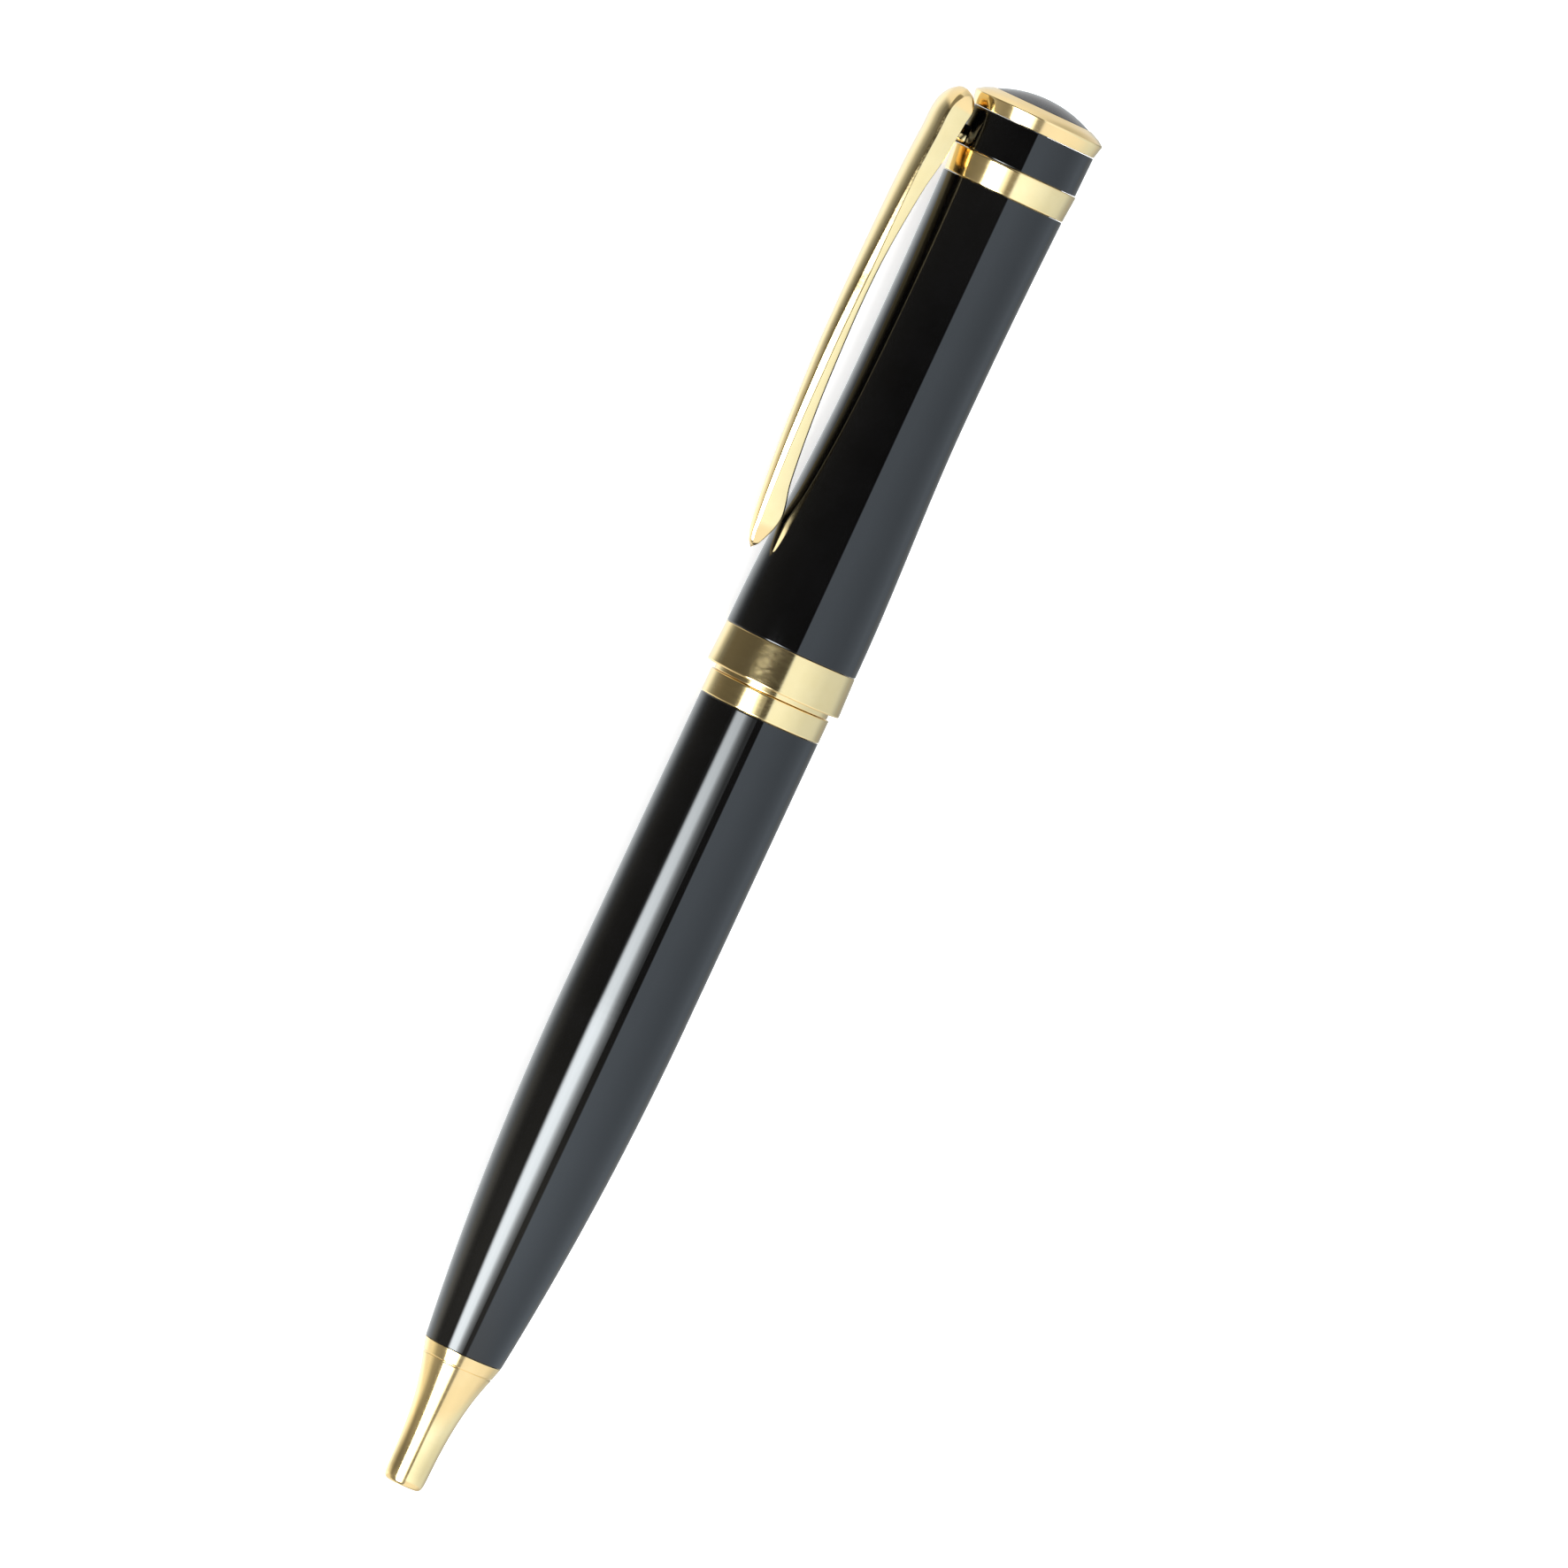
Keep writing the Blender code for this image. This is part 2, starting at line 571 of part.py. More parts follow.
def mechanism_bush(parent):
    """The threaded bush that stays with the front half and carries the cam slots."""
    thread_low = BUSH_FLANGE_LOW - BUSH_SPIGOT_LENGTH
    pitch = (BUSH_SPIGOT_LENGTH - 3.0 * MM) / THREAD_TURNS
    outline = [(BUSH_BORE_R, thread_low), (BUSH_SPIGOT_R - THREAD_DEPTH, thread_low)]
    for i in range(THREAD_TURNS):
        root = thread_low + 0.6 * MM + pitch * i
        outline += [
            (BUSH_SPIGOT_R - THREAD_DEPTH, root),
            (BUSH_SPIGOT_R, root + 0.4 * pitch),
            (BUSH_SPIGOT_R, root + 0.6 * pitch),
        ]
    groove_half = O_RING_R + 0.1 * MM
    retainer_half = RETAINER_THICK / 2.0 + SEAT_GAP
    outline += [
        (BUSH_SPIGOT_R - THREAD_DEPTH, thread_low + 0.6 * MM + pitch * THREAD_TURNS),
        (BUSH_SPIGOT_R - THREAD_DEPTH, BUSH_FLANGE_LOW),
        (NECK_R, BUSH_FLANGE_LOW),
        (NECK_R, BUSH_HUB_LOW),
        (BUSH_HUB_R, BUSH_HUB_LOW),
        (BUSH_HUB_R, O_RING_MID - groove_half),
        (O_RING_GROOVE_R, O_RING_MID - groove_half),
        (O_RING_GROOVE_R, O_RING_MID + groove_half),
        (BUSH_HUB_R, O_RING_MID + groove_half),
        (BUSH_HUB_R, BUSH_TUBE_LOW),
        (BUSH_TUBE_R, BUSH_TUBE_LOW),
        (BUSH_TUBE_R, RETAINER_MID - retainer_half),
        (RETAINER_BORE_R - SEAT_GAP, RETAINER_MID - retainer_half),
        (RETAINER_BORE_R - SEAT_GAP, RETAINER_MID + retainer_half),
        (BUSH_TUBE_R, RETAINER_MID + retainer_half),
        (BUSH_TUBE_R, BUSH_TOP),
        (BUSH_BORE_R, BUSH_TOP),
    ]
    bush = turned("mechanism_bush", outline, gold("bush_gold"), parent)
    for start in (0.0, 180.0):
        boolean(bush, cam_slot(f"cam_cutter_{start:.0f}", start, parent))
    return bush


def friction_o_ring(parent):
    middle = O_RING_GROOVE_R + O_RING_R + 0.02 * MM
    turn = [2.0 * math.pi * i / 8 for i in range(8)]
    outline = [(middle + O_RING_R * math.cos(t), O_RING_MID + O_RING_R * math.sin(t)) for t in turn]
    return turned("friction_o_ring", outline, plastic("o_ring_rubber", (0.02, 0.02, 0.02)), parent)


def retaining_ring(parent):
    low = RETAINER_MID - RETAINER_THICK / 2.0
    high = RETAINER_MID + RETAINER_THICK / 2.0
    outline = [(RETAINER_BORE_R, low), (RETAINER_R, low), (RETAINER_R, high), (RETAINER_BORE_R, high)]
    return turned("retaining_ring", outline, steel("retainer_steel"), parent)


def mechanism_sleeve(parent):
    """The driving sleeve, fixed in the cap, with two straight keyways for the cross pin."""
    shoulder = RETAINER_MID - RETAINER_THICK / 2.0 - RUNNING_GAP
    outline = [
        (SLEEVE_BORE_R, SLEEVE_LOW),
        (SLEEVE_R, SLEEVE_LOW),
        (SLEEVE_R, SLEEVE_TOP),
        (SLEEVE_STEP_R, SLEEVE_TOP),
        (SLEEVE_STEP_R, shoulder),
        (SLEEVE_BORE_R, shoulder),
    ]
    sleeve = turned("mechanism_sleeve", outline, brass("sleeve_brass"), parent)
    half = PIN_R + PIN_SLOT_GAP
    bm = bmesh.new()
    reach = SLEEVE_R + 1.0 * MM
    low = PIN_HEIGHT - TWIST_STROKE - half
    box(bm, (-reach, -half, low), (reach, half, PIN_HEIGHT + half))
    boolean(sleeve, cutter("keyway_cutter", bm, parent))
    return sleeve


def pusher(parent):
    top = PIN_HEIGHT + PUSHER_ABOVE_PIN
    r = BUSH_BORE_R - RUNNING_GAP
    outline = [
        (0.0, PUSHER_LOW),
        (r - 0.5 * MM, PUSHER_LOW),
        (r, PUSHER_LOW + 0.5 * MM),
        (r, top - EDGE),
        (r - EDGE, top),
        (0.0, top),
    ]
    body = turned("pusher", outline, plastic("pusher_acetal", (0.70, 0.68, 0.62)), parent, hollow=False)
    bm = bmesh.new()
    reach = REFILL_R + 1.0 * MM
    rod(bm, PIN_R + SEAT_GAP, (-reach, 0.0, PIN_HEIGHT), (reach, 0.0, PIN_HEIGHT))
    boolean(body, cutter("pin_hole_cutter", bm, parent))
    return body


def cross_pin(parent):
    bm = bmesh.new()
    half = PIN_LENGTH / 2.0
    rod(bm, PIN_R, (-half, 0.0, PIN_HEIGHT), (half, 0.0, PIN_HEIGHT))
    return as_object("cross_pin", bm, steel("pin_steel"), parent)


def centre_band(parent):
    spigot_top = BAND_TOP + BAND_SPIGOT_LENGTH
    shoulder = BUSH_HUB_LOW + 2.0 * RUNNING_GAP
    outline = [
        (NECK_R + RUNNING_GAP, BAND_LOW),
        (BAND_LOW_R - EDGE, BAND_LOW),
        (BAND_LOW_R, BAND_LOW + EDGE),
        (BAND_TOP_R, BAND_TOP),
        (BAND_SPIGOT_R, BAND_TOP),
        (BAND_SPIGOT_R, spigot_top),
        (CAP_BORE_R, spigot_top),
        (CAP_BORE_R, shoulder),
        (NECK_R + RUNNING_GAP, shoulder),
    ]
    return turned("centre_band", outline, gold("band_gold"), parent, SIDES_OUTER)


def upper_barrel(parent):
    counterbore_top = BAND_TOP + BAND_SPIGOT_LENGTH + SEAT_GAP
    outside = [(cap_radius(h), h) for h in spaced(UPPER_BARREL_LOW, UPPER_BARREL_TOP, 12)]
    bore = max(CAP_BORE_R, TOP_INSERT_R) + SEAT_GAP
    inside = [
        (bore, UPPER_BARREL_TOP),
        (bore, counterbore_top),
        (BAND_SPIGOT_R + SEAT_GAP, counterbore_top),
        (BAND_SPIGOT_R + SEAT_GAP, UPPER_BARREL_LOW),
    ]
    return turned("upper_barrel", outside + inside, black_lacquer("upper_lacquer"), parent, SIDES_OUTER)


def clip_side_outline():
    """The clip's leg, neck and knuckle as seen from the side, in (radius, height)."""
    crook = CLIP_APEX - 3.6 * MM
    return [
        (CLIP_KNUCKLE_IN, CLIP_KNUCKLE_LOW),
        (CLIP_KNUCKLE_OUT, CLIP_KNUCKLE_LOW),
        (CLIP_KNUCKLE_OUT, CLIP_NECK_BOTTOM),
        (CLIP_LEG_OUT - 0.35 * MM, CLIP_NECK_BOTTOM),
        (CLIP_LEG_OUT, CLIP_NECK_BOTTOM + 0.35 * MM),
        (CLIP_LEG_OUT, crook - 0.3 * MM),
        (CLIP_LEG_OUT + 0.25 * MM, crook),
        (CLIP_REACH - CLIP_JOIN_DEPTH, crook + 0.2 * MM),
        (CLIP_REACH - CLIP_JOIN_DEPTH, CLIP_APEX - 0.6 * MM),
        (CLIP_LEG_OUT + 0.2 * MM, CLIP_APEX - 0.35 * MM),
        (CLIP_LEG_IN, CLIP_APEX - 1.0 * MM),
        (CLIP_LEG_IN, CLIP_NECK_TOP),
        (CLIP_KNUCKLE_OUT, CLIP_NECK_TOP),
        (CLIP_KNUCKLE_OUT, CLIP_KNUCKLE_TOP),
        (CLIP_KNUCKLE_IN, CLIP_KNUCKLE_TOP),
    ]


def clip_blade(bm):
    """The long tapered blade, lofted from the tip up to the rounded apex."""
    length = CLIP_APEX - CLIP_TIP
    # Share of the blade's length from the tip, and how far in from CLIP_REACH its two faces lie
    outside = [(0.0, 2.0), (0.035, 1.45), (0.15, 0.8), (0.3, 0.3)]
    outside += [(0.48, 0.0), (0.8, 0.17), (0.94, 0.5), (1.0, 1.5)]
    inside = [(0.0, 2.35), (0.04, 3.1), (0.08, 3.5), (0.15, 2.8)]
    inside += [(0.3, 2.05), (0.45, 1.65), (0.6, 1.5), (0.77, 2.0), (0.84, 2.5), (0.88, 2.75)]
    inside += [(0.95, 2.7), (1.0, 1.9)]
    half_width = [(0.0, 0.4), (0.06, 0.95), (0.3, 1.45), (0.6, 2.0), (0.85, 2.5), (0.95, 2.5), (1.0, 1.3)]
    # Points round one section: across as a share of the half width, and depth from the outside
    section = [(-1.0, 0.8), (-1.0, 0.45), (-0.82, 0.16), (-0.35, 0.0), (0.35, 0.0)]
    section += [(0.82, 0.16), (1.0, 0.45), (1.0, 0.8), (0.8, 1.0), (-0.8, 1.0)]
    shares = [0.0, 0.02, 0.045, 0.08, 0.115, 0.15, 0.22, 0.3, 0.4, 0.5]
    shares += [0.6, 0.7, 0.78, 0.84, 0.88, 0.94, 0.97, 0.99, 1.0]
    rings = []
    for share in shares:
        height = CLIP_TIP + length * share
        outer = CLIP_REACH - blend_curve(outside, share) * MM
        depth = outer - (CLIP_REACH - blend_curve(inside, share) * MM)
        half = blend_curve(half_width, share) * MM
        ring = []
        for across, d in section:
            x = outer - d * (min(depth, CLIP_CROWN) if d < 0.5 else depth)
            ring.append(bm.verts.new((x, half * across, height)))
        rings.append(ring)
    loft(bm, rings)


def clip(parent):
    """The sprung clip. Its knuckle sits in the cap and turns on the clip pin."""
    bm = bmesh.new()
    clip_blade(bm)
    away = Matrix.Translation((-CLIP_PIN_FROM_AXIS, 0.0, -CLIP_PIN_HEIGHT))
    bmesh.ops.transform(bm, matrix=away, verts=bm.verts)
    blade = as_object("clip", bm, gold("clip_gold"), parent)
    bm = bmesh.new()
    prism(bm, clip_side_outline(), CLIP_FOOT_HALF_WIDTH)
    bmesh.ops.transform(bm, matrix=away, verts=bm.verts)
    boolean(blade, cutter("clip_leg_shape", bm, parent), "UNION")
    bm = bmesh.new()
    reach = 2.0 * CLIP_FOOT_HALF_WIDTH
    rod(bm, CLIP_PIN_R + 0.06 * MM, (0.0, -reach, 0.0), (0.0, reach, 0.0))
    boolean(blade, cutter("clip_pin_hole_cutter", bm, parent))
    return blade


def clip_pin(parent):
    bm = bmesh.new()
    x, z, half = CLIP_PIN_FROM_AXIS, CLIP_PIN_HEIGHT, CLIP_PIN_HALF_LENGTH
    rod(bm, CLIP_PIN_R, (x, -half, z), (x, half, z))
    return as_object("clip_pin", bm, steel("clip_pin_steel"), parent)


def clip_spring(parent):
    """A bowed leaf that lies under the clip's knuckle and keeps the clip shut."""
    bm = bmesh.new()
    lower = []
    upper = []
    for share in spaced(-1.0, 1.0, 9):
        x = (CLIP_KNUCKLE_IN + CLIP_KNUCKLE_OUT) / 2.0 + share * LEAF_HALF_LENGTH
        z = LEAF_LOW + LEAF_RISE * (1.0 - share**2)
        lower.append((x, z))
        upper.append((x, z + LEAF_THICK))
    prism(bm, lower + upper[::-1], LEAF_HALF_WIDTH)
    return as_object("clip_spring", bm, steel("leaf_steel"), parent)


def top_insert(parent):
    """The brass plug in the cap's top: it carries the clip pin and takes the finial screw."""
    top = COLLAR_TOP - SEAT_GAP
    screw_low = BEZEL_LOW + BEZEL_FLOOR - SCREW_LENGTH
    outline = [
        (0.0, TOP_INSERT_LOW),
        (TOP_INSERT_R - EDGE, TOP_INSERT_LOW),
        (TOP_INSERT_R, TOP_INSERT_LOW + EDGE),
        (TOP_INSERT_R, top),
        (SCREW_R + SEAT_GAP, top),
        (SCREW_R + SEAT_GAP, screw_low),
        (0.0, screw_low),
    ]
    plug = turned("top_insert", outline, brass("top_insert_brass"), parent, hollow=False)
    slot_low = LEAF_LOW - LEAF_ABOVE_SLOT
    slot_high = CLIP_KNUCKLE_TOP + CLIP_SWING + RUNNING_GAP
    bm = bmesh.new()
    slot_in = CLIP_KNUCKLE_IN - 0.25 * MM
    slot_out = TOP_INSERT_R + 1.0 * MM
    box(bm, (slot_in, -CLIP_SLOT_HALF_WIDTH, slot_low), (slot_out, CLIP_SLOT_HALF_WIDTH, slot_high))
    boolean(plug, cutter("clip_slot_cutter", bm, parent))
    bm = bmesh.new()
    x, z = CLIP_PIN_FROM_AXIS, CLIP_PIN_HEIGHT
    reach = TOP_INSERT_R + 1.0 * MM
    rod(bm, CLIP_PIN_R + SEAT_GAP, (x, -reach, z), (x, reach, z))
    boolean(plug, cutter("clip_pin_seat_cutter", bm, parent))
    return plug


def finial_collar(parent):
    """The black collar, notched at its lower edge where the clip's neck goes in."""
    bore = TOP_INSERT_R + SEAT_GAP
    outline = [
        (bore, COLLAR_LOW),
        (COLLAR_LOW_R, COLLAR_LOW),
        (COLLAR_TOP_R, COLLAR_TOP),
        (bore, COLLAR_TOP),
    ]
    collar = turned("finial_collar", outline, black_lacquer("collar_lacquer"), parent, SIDES_OUTER)
    notch_top = CLIP_NECK_TOP + CLIP_SWING + RUNNING_GAP
    bm = bmesh.new()
    half = CLIP_SLOT_HALF_WIDTH + 0.1 * MM
    box(bm, (bore - 1.0 * MM, -half, COLLAR_LOW - 1.0 * MM), (COLLAR_TOP_R + 1.0 * MM, half, notch_top))
    boolean(collar, cutter("collar_notch_cutter", bm, parent))
    return collar


def finial_bezel(parent):
    shoulder = BEZEL_LOW + 0.58 * BEZEL_LENGTH
    seat = BEZEL_TOP - CABOCHON_SEAT
    floor = BEZEL_LOW + BEZEL_FLOOR
    outline = [
        (SCREW_R + RUNNING_GAP, BEZEL_LOW),
        (COLLAR_TOP_R, BEZEL_LOW),
        (BEZEL_R, shoulder),
        (BEZEL_R - 0.1 * MM, shoulder + 0.16 * MM),
        (BEZEL_R - 0.6 * MM, shoulder + 0.45 * MM),
        (CABOCHON_R + SEAT_GAP, BEZEL_TOP),
        (CABOCHON_R + SEAT_GAP, seat),
        (SCREW_HEAD_R + RUNNING_GAP, seat),
        (SCREW_HEAD_R + RUNNING_GAP, floor),
        (SCREW_R + RUNNING_GAP, floor),
    ]
    return turned("finial_bezel", outline, gold("bezel_gold"), parent, SIDES_OUTER)


def finial_cabochon(parent):
    """A black domed stone: a spherical cap on a short straight girdle."""
    low = BEZEL_TOP - CABOCHON_SEAT + SEAT_GAP
    rise = PEN_LENGTH - BEZEL_TOP
    sphere_r = (CABOCHON_R**2 + rise**2) / (2.0 * rise)
    outline = [(0.0, low), (CABOCHON_R, low)]
    for angle in spaced(math.asin(CABOCHON_R / sphere_r), 0.0, 6)[:-1]:
        outline.append((sphere_r * math.sin(angle), PEN_LENGTH - sphere_r * (1.0 - math.cos(angle))))
    outline.append((0.0, PEN_LENGTH))
    onyx = black_lacquer("cabochon_onyx")
    return turned("finial_cabochon", outline, onyx, parent, SIDES_OUTER, hollow=False)


def finial_screw(parent):
    head_low = BEZEL_LOW + BEZEL_FLOOR + SEAT_GAP
    outline = [
        (0.0, head_low + 2.0 * SEAT_GAP - SCREW_LENGTH),
        (SCREW_R, head_low + 2.0 * SEAT_GAP - SCREW_LENGTH),
        (SCREW_R, head_low),
        (SCREW_HEAD_R, head_low),
        (SCREW_HEAD_R, head_low + SCREW_HEAD_LENGTH),
        (0.0, head_low + SCREW_HEAD_LENGTH),
    ]
    screw = turned("finial_screw", outline, steel("screw_steel"), parent, hollow=False)
    bm = bmesh.new()
    slot_top = head_low + SCREW_HEAD_LENGTH
    half_width = 0.25 * MM
    reach = SCREW_HEAD_R + 1.0 * MM
    box(bm, (-reach, -half_width, slot_top - 0.35 * MM), (reach, half_width, slot_top + 1.0 * MM))
    boolean(screw, cutter("screw_slot_cutter", bm, parent))
    return screw


def clip_rest_angle(hinge, blade):
    """How far below the horizontal the clip points when it and the centre band share the table."""
    angles = []
    for vertex in blade.data.vertices:
        x, y = vertex.co.x + hinge.location.x, vertex.co.y
        if math.hypot(x, y) > BAND_LOW_R:
            angles.append(math.asin(BAND_LOW_R / math.hypot(x, y)) - math.atan2(y, x))
    return min(angles)


def stand_on_table(root, pieces):
    """Moves the whole pen so that its box stands on the ground with its middle over the origin."""
    bpy.context.view_layer.update()
    corners = [piece.matrix_world @ vertex.co for piece in pieces for vertex in piece.data.vertices]
    low = [min(c[k] for c in corners) for k in range(3)]
    high = [max(c[k] for c in corners) for k in range(3)]
    root.location = (-(low[0] + high[0]) / 2.0, -(low[1] + high[1]) / 2.0, -low[2])
    bpy.context.view_layer.update()


def build():
    clear_scene()
    root = empty("pen_axis")
    root.rotation_mode = "QUATERNION"
    laid = Matrix(((0.0, 0.0, -1.0), (-1.0, 0.0, 0.0), (0.0, 1.0, 0.0)))
    root.rotation_quaternion = laid.to_quaternion()

    front = empty("front_half", root)
    pieces = [nose_cone(front), lower_barrel(front), barrel_thread_insert(front)]
    pieces.append(
        ring(
            "lower_ring",
            LOWER_RING_LOW,
            LOWER_RING_TOP,
            LOWER_RING_R,
            LOWER_RING_R,
            INSERT_R + SEAT_GAP,
            gold("lower_ring_gold"),
            front,
        )
    )
    pieces.append(return_spring(front))

    refill = empty("refill_slide", front)
    pieces += [refill_ball(refill), refill_tip(refill), refill_tube(refill)]
    pieces += [ink_reservoir(refill), refill_plug(refill)]

    mechanism = empty("mechanism", front)
    pieces += [mechanism_bush(mechanism), friction_o_ring(mechanism), retaining_ring(mechanism)]

    cap = empty("cap_twist", mechanism)
    pieces += [mechanism_sleeve(cap), centre_band(cap), upper_barrel(cap)]
    pieces.append(finial_bezel(cap))
    pieces += [finial_cabochon(cap), finial_screw(cap)]
    pieces.append(
        ring(
            "top_trim_ring",
            TRIM_RING_LOW,
            TRIM_RING_TOP,
            TRIM_RING_R,
            TRIM_RING_R,
            TOP_INSERT_R + SEAT_GAP,
            gold("trim_ring_gold"),
            cap,
        )
    )

    push = empty("pusher_slide", cap)
    pieces += [pusher(push), cross_pin(push)]

    clip_side = empty("clip_side", cap)
    pieces += [top_insert(clip_side), finial_collar(clip_side), clip_pin(clip_side), clip_spring(clip_side)]
    hinge = empty("clip_hinge", clip_side, (CLIP_PIN_FROM_AXIS, 0.0, CLIP_PIN_HEIGHT))
    blade = clip(hinge)
    pieces.append(blade)
    clip_side.rotation_euler.z = -clip_rest_angle(hinge, blade)
    stand_on_table(root, pieces)


build()
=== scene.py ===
"""The looks of a gold-trimmed black lacquer twist pen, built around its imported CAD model.

Every piece is turned or swept in the pen's own frame: local Z is the height above the nose end,
local X points from the pen's axis to the clip. Profiles are in millimetres.
"""

import json
import math

import bmesh
import bpy
from mathutils import Matrix, Vector


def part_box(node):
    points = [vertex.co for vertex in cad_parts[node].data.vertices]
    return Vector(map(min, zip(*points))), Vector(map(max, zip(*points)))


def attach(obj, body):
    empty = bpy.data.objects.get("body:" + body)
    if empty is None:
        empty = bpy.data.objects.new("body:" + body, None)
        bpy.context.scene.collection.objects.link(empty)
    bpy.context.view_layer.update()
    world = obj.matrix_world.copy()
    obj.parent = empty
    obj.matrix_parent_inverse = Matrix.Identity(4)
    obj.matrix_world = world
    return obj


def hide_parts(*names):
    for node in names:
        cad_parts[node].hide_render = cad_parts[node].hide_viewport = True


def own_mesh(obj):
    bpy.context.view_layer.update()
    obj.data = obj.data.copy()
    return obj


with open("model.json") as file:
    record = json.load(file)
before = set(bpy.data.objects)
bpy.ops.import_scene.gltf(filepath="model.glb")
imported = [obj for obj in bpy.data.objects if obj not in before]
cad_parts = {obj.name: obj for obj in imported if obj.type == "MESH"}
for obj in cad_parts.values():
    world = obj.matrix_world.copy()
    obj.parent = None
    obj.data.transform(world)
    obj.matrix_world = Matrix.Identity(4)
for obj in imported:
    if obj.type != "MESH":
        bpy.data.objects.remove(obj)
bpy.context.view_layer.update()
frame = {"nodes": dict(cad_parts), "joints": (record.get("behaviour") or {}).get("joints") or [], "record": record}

MM = 0.001
SIDES = 160
SIDES_INNER = 72
SHARP_DEG = 32.0  # edges sharper than this are shaded as edges
GUARD = 0.05  # distance of the loops that keep long faces flat, from each edge
SEAT_GAP = 0.05
RUNNING_GAP = 0.1

FINISH = {
    "nose_cone": "gold_plate",
    "lower_barrel": "black_lacquer",
    "barrel_thread_insert": "brass",
    "lower_ring": "gold_plate",
    "return_spring": "steel",
    "mechanism_bush": "gold_plate",
    "friction_o_ring": "rubber",
    "retaining_ring": "steel",
    "mechanism_sleeve": "brass",
    "centre_band": "gold_plate",
    "upper_barrel": "black_lacquer",
    "top_trim_ring": "gold_plate",
    "top_insert": "brass",
    "finial_collar": "black_lacquer",
    "finial_bezel": "gold_plate",
    "finial_cabochon": "onyx",
    "finial_screw": "steel",
    "clip_pin": "steel",
    "clip_spring": "steel",
    "pusher": "acetal",
    "cross_pin": "steel",
    "refill_ball": "steel",
    "refill_tip": "steel",
    "refill_tube": "refill_plastic",
    "ink_reservoir": "ink_fibre",
    "refill_plug": "black_plastic",
    "clip": "gold_plate",
}
BODY_OF = {node: body for body, nodes in frame["record"]["behaviour"]["bodies"].items() for node in nodes}


# ---------------------------------------------------------------- the pen's frame

def joint(name):
    return next(j for j in frame["joints"] if j["name"] == name)


def middle_of(node):
    low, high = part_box(node)
    return (low + high) / 2.0


NOSE_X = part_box("nose_cone")[1].x
AXIS = middle_of("centre_band")
ALONG = Vector((-1.0, 0.0, 0.0))
CLIP_WAY = Vector(joint("clip_hinge")["axis"]).cross(-ALONG).normalized()
SIDEWAYS = ALONG.cross(CLIP_WAY)
PEN = Matrix.Translation((NOSE_X, AXIS.y, AXIS.z)) @ Matrix((CLIP_WAY, SIDEWAYS, ALONG)).transposed().to_4x4()
TO_PEN = PEN.inverted()
PEN_MM = PEN @ Matrix.Scale(MM, 4)


def span(node):
    """The lowest and highest height of a CAD node above the nose end, in millimetres."""
    low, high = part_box(node)
    return (NOSE_X - high.x) / MM, (NOSE_X - low.x) / MM


def local_points(node):
    return [TO_PEN @ v.co / MM for v in frame["nodes"][node].data.vertices]


def radii(node):
    """The smallest and largest distance of a CAD node's vertices from the pen's axis."""
    away = [math.hypot(p.x, p.y) for p in local_points(node)]
    return min(away), max(away)


def radius_at(node, height):
    """The outer radius of a CAD node at one of its ends."""
    return max(math.hypot(p.x, p.y) for p in local_points(node) if abs(p.z - height) < 0.01)


# ---------------------------------------------------------------- materials

def new_material(name):
    material = bpy.data.materials.new(name)
    material.use_nodes = True
    tree = material.node_tree
    return material, tree, tree.nodes["Principled BSDF"]


def add(tree, kind, **settings):
    node = tree.nodes.new(kind)
    for key, value in settings.items():
        setattr(node, key, value)
    return node


def noise(tree, size_mm, stretch=(1.0, 1.0, 1.0), detail=3.0, roughness=0.55):
    """Noise with features of about size_mm, drawn out by the stretch factors."""
    place = add(tree, "ShaderNodeTexCoord")
    scale = add(tree, "ShaderNodeMapping")
    scale.inputs["Scale"].default_value = [1.0 / (size_mm * MM * s) for s in stretch]
    grain = add(tree, "ShaderNodeTexNoise")
    grain.inputs["Scale"].default_value = 1.0
    grain.inputs["Detail"].default_value = detail
    grain.inputs["Roughness"].default_value = roughness
    tree.links.new(place.outputs["Object"], scale.inputs["Vector"])
    tree.links.new(scale.outputs["Vector"], grain.inputs["Vector"])
    return grain.outputs["Fac"]


def mapped(tree, value, low, high, start=0.35, end=0.65):
    step = add(tree, "ShaderNodeMapRange")
    step.inputs["From Min"].default_value = start
    step.inputs["From Max"].default_value = end
    step.inputs["To Min"].default_value = low
    step.inputs["To Max"].default_value = high
    tree.links.new(value, step.inputs["Value"])
    return step.outputs["Result"]


def ramped(tree, value, stops):
    ramp = add(tree, "ShaderNodeValToRGB")
    elements = ramp.color_ramp.elements
    while len(elements) < len(stops):
        elements.new(0.5)
    for element, (at, colour) in zip(elements, stops):
        element.position = at
        element.color = (*colour, 1.0)
    tree.links.new(value, ramp.inputs["Fac"])
    return ramp.outputs["Color"]


def tinted(tree, value, first, second):
    return ramped(tree, value, [(0.35, first), (0.65, second)])


def bumped(tree, height, depth_mm, before=None):
    bump = add(tree, "ShaderNodeBump")
    bump.inputs["Strength"].default_value = 1.0
    bump.inputs["Distance"].default_value = depth_mm * MM
    tree.links.new(height, bump.inputs["Height"])
    if before is not None:
        tree.links.new(before, bump.inputs["Normal"])
    return bump.outputs["Normal"]


def surfaced(tree, colour, roughness, normal=None):
    """Feeds the material's shader."""
    shader = tree.nodes["Principled BSDF"]
    tree.links.new(colour, shader.inputs["Base Color"])
    tree.links.new(roughness, shader.inputs["Roughness"])
    if normal is not None:
        tree.links.new(normal, shader.inputs["Normal"])


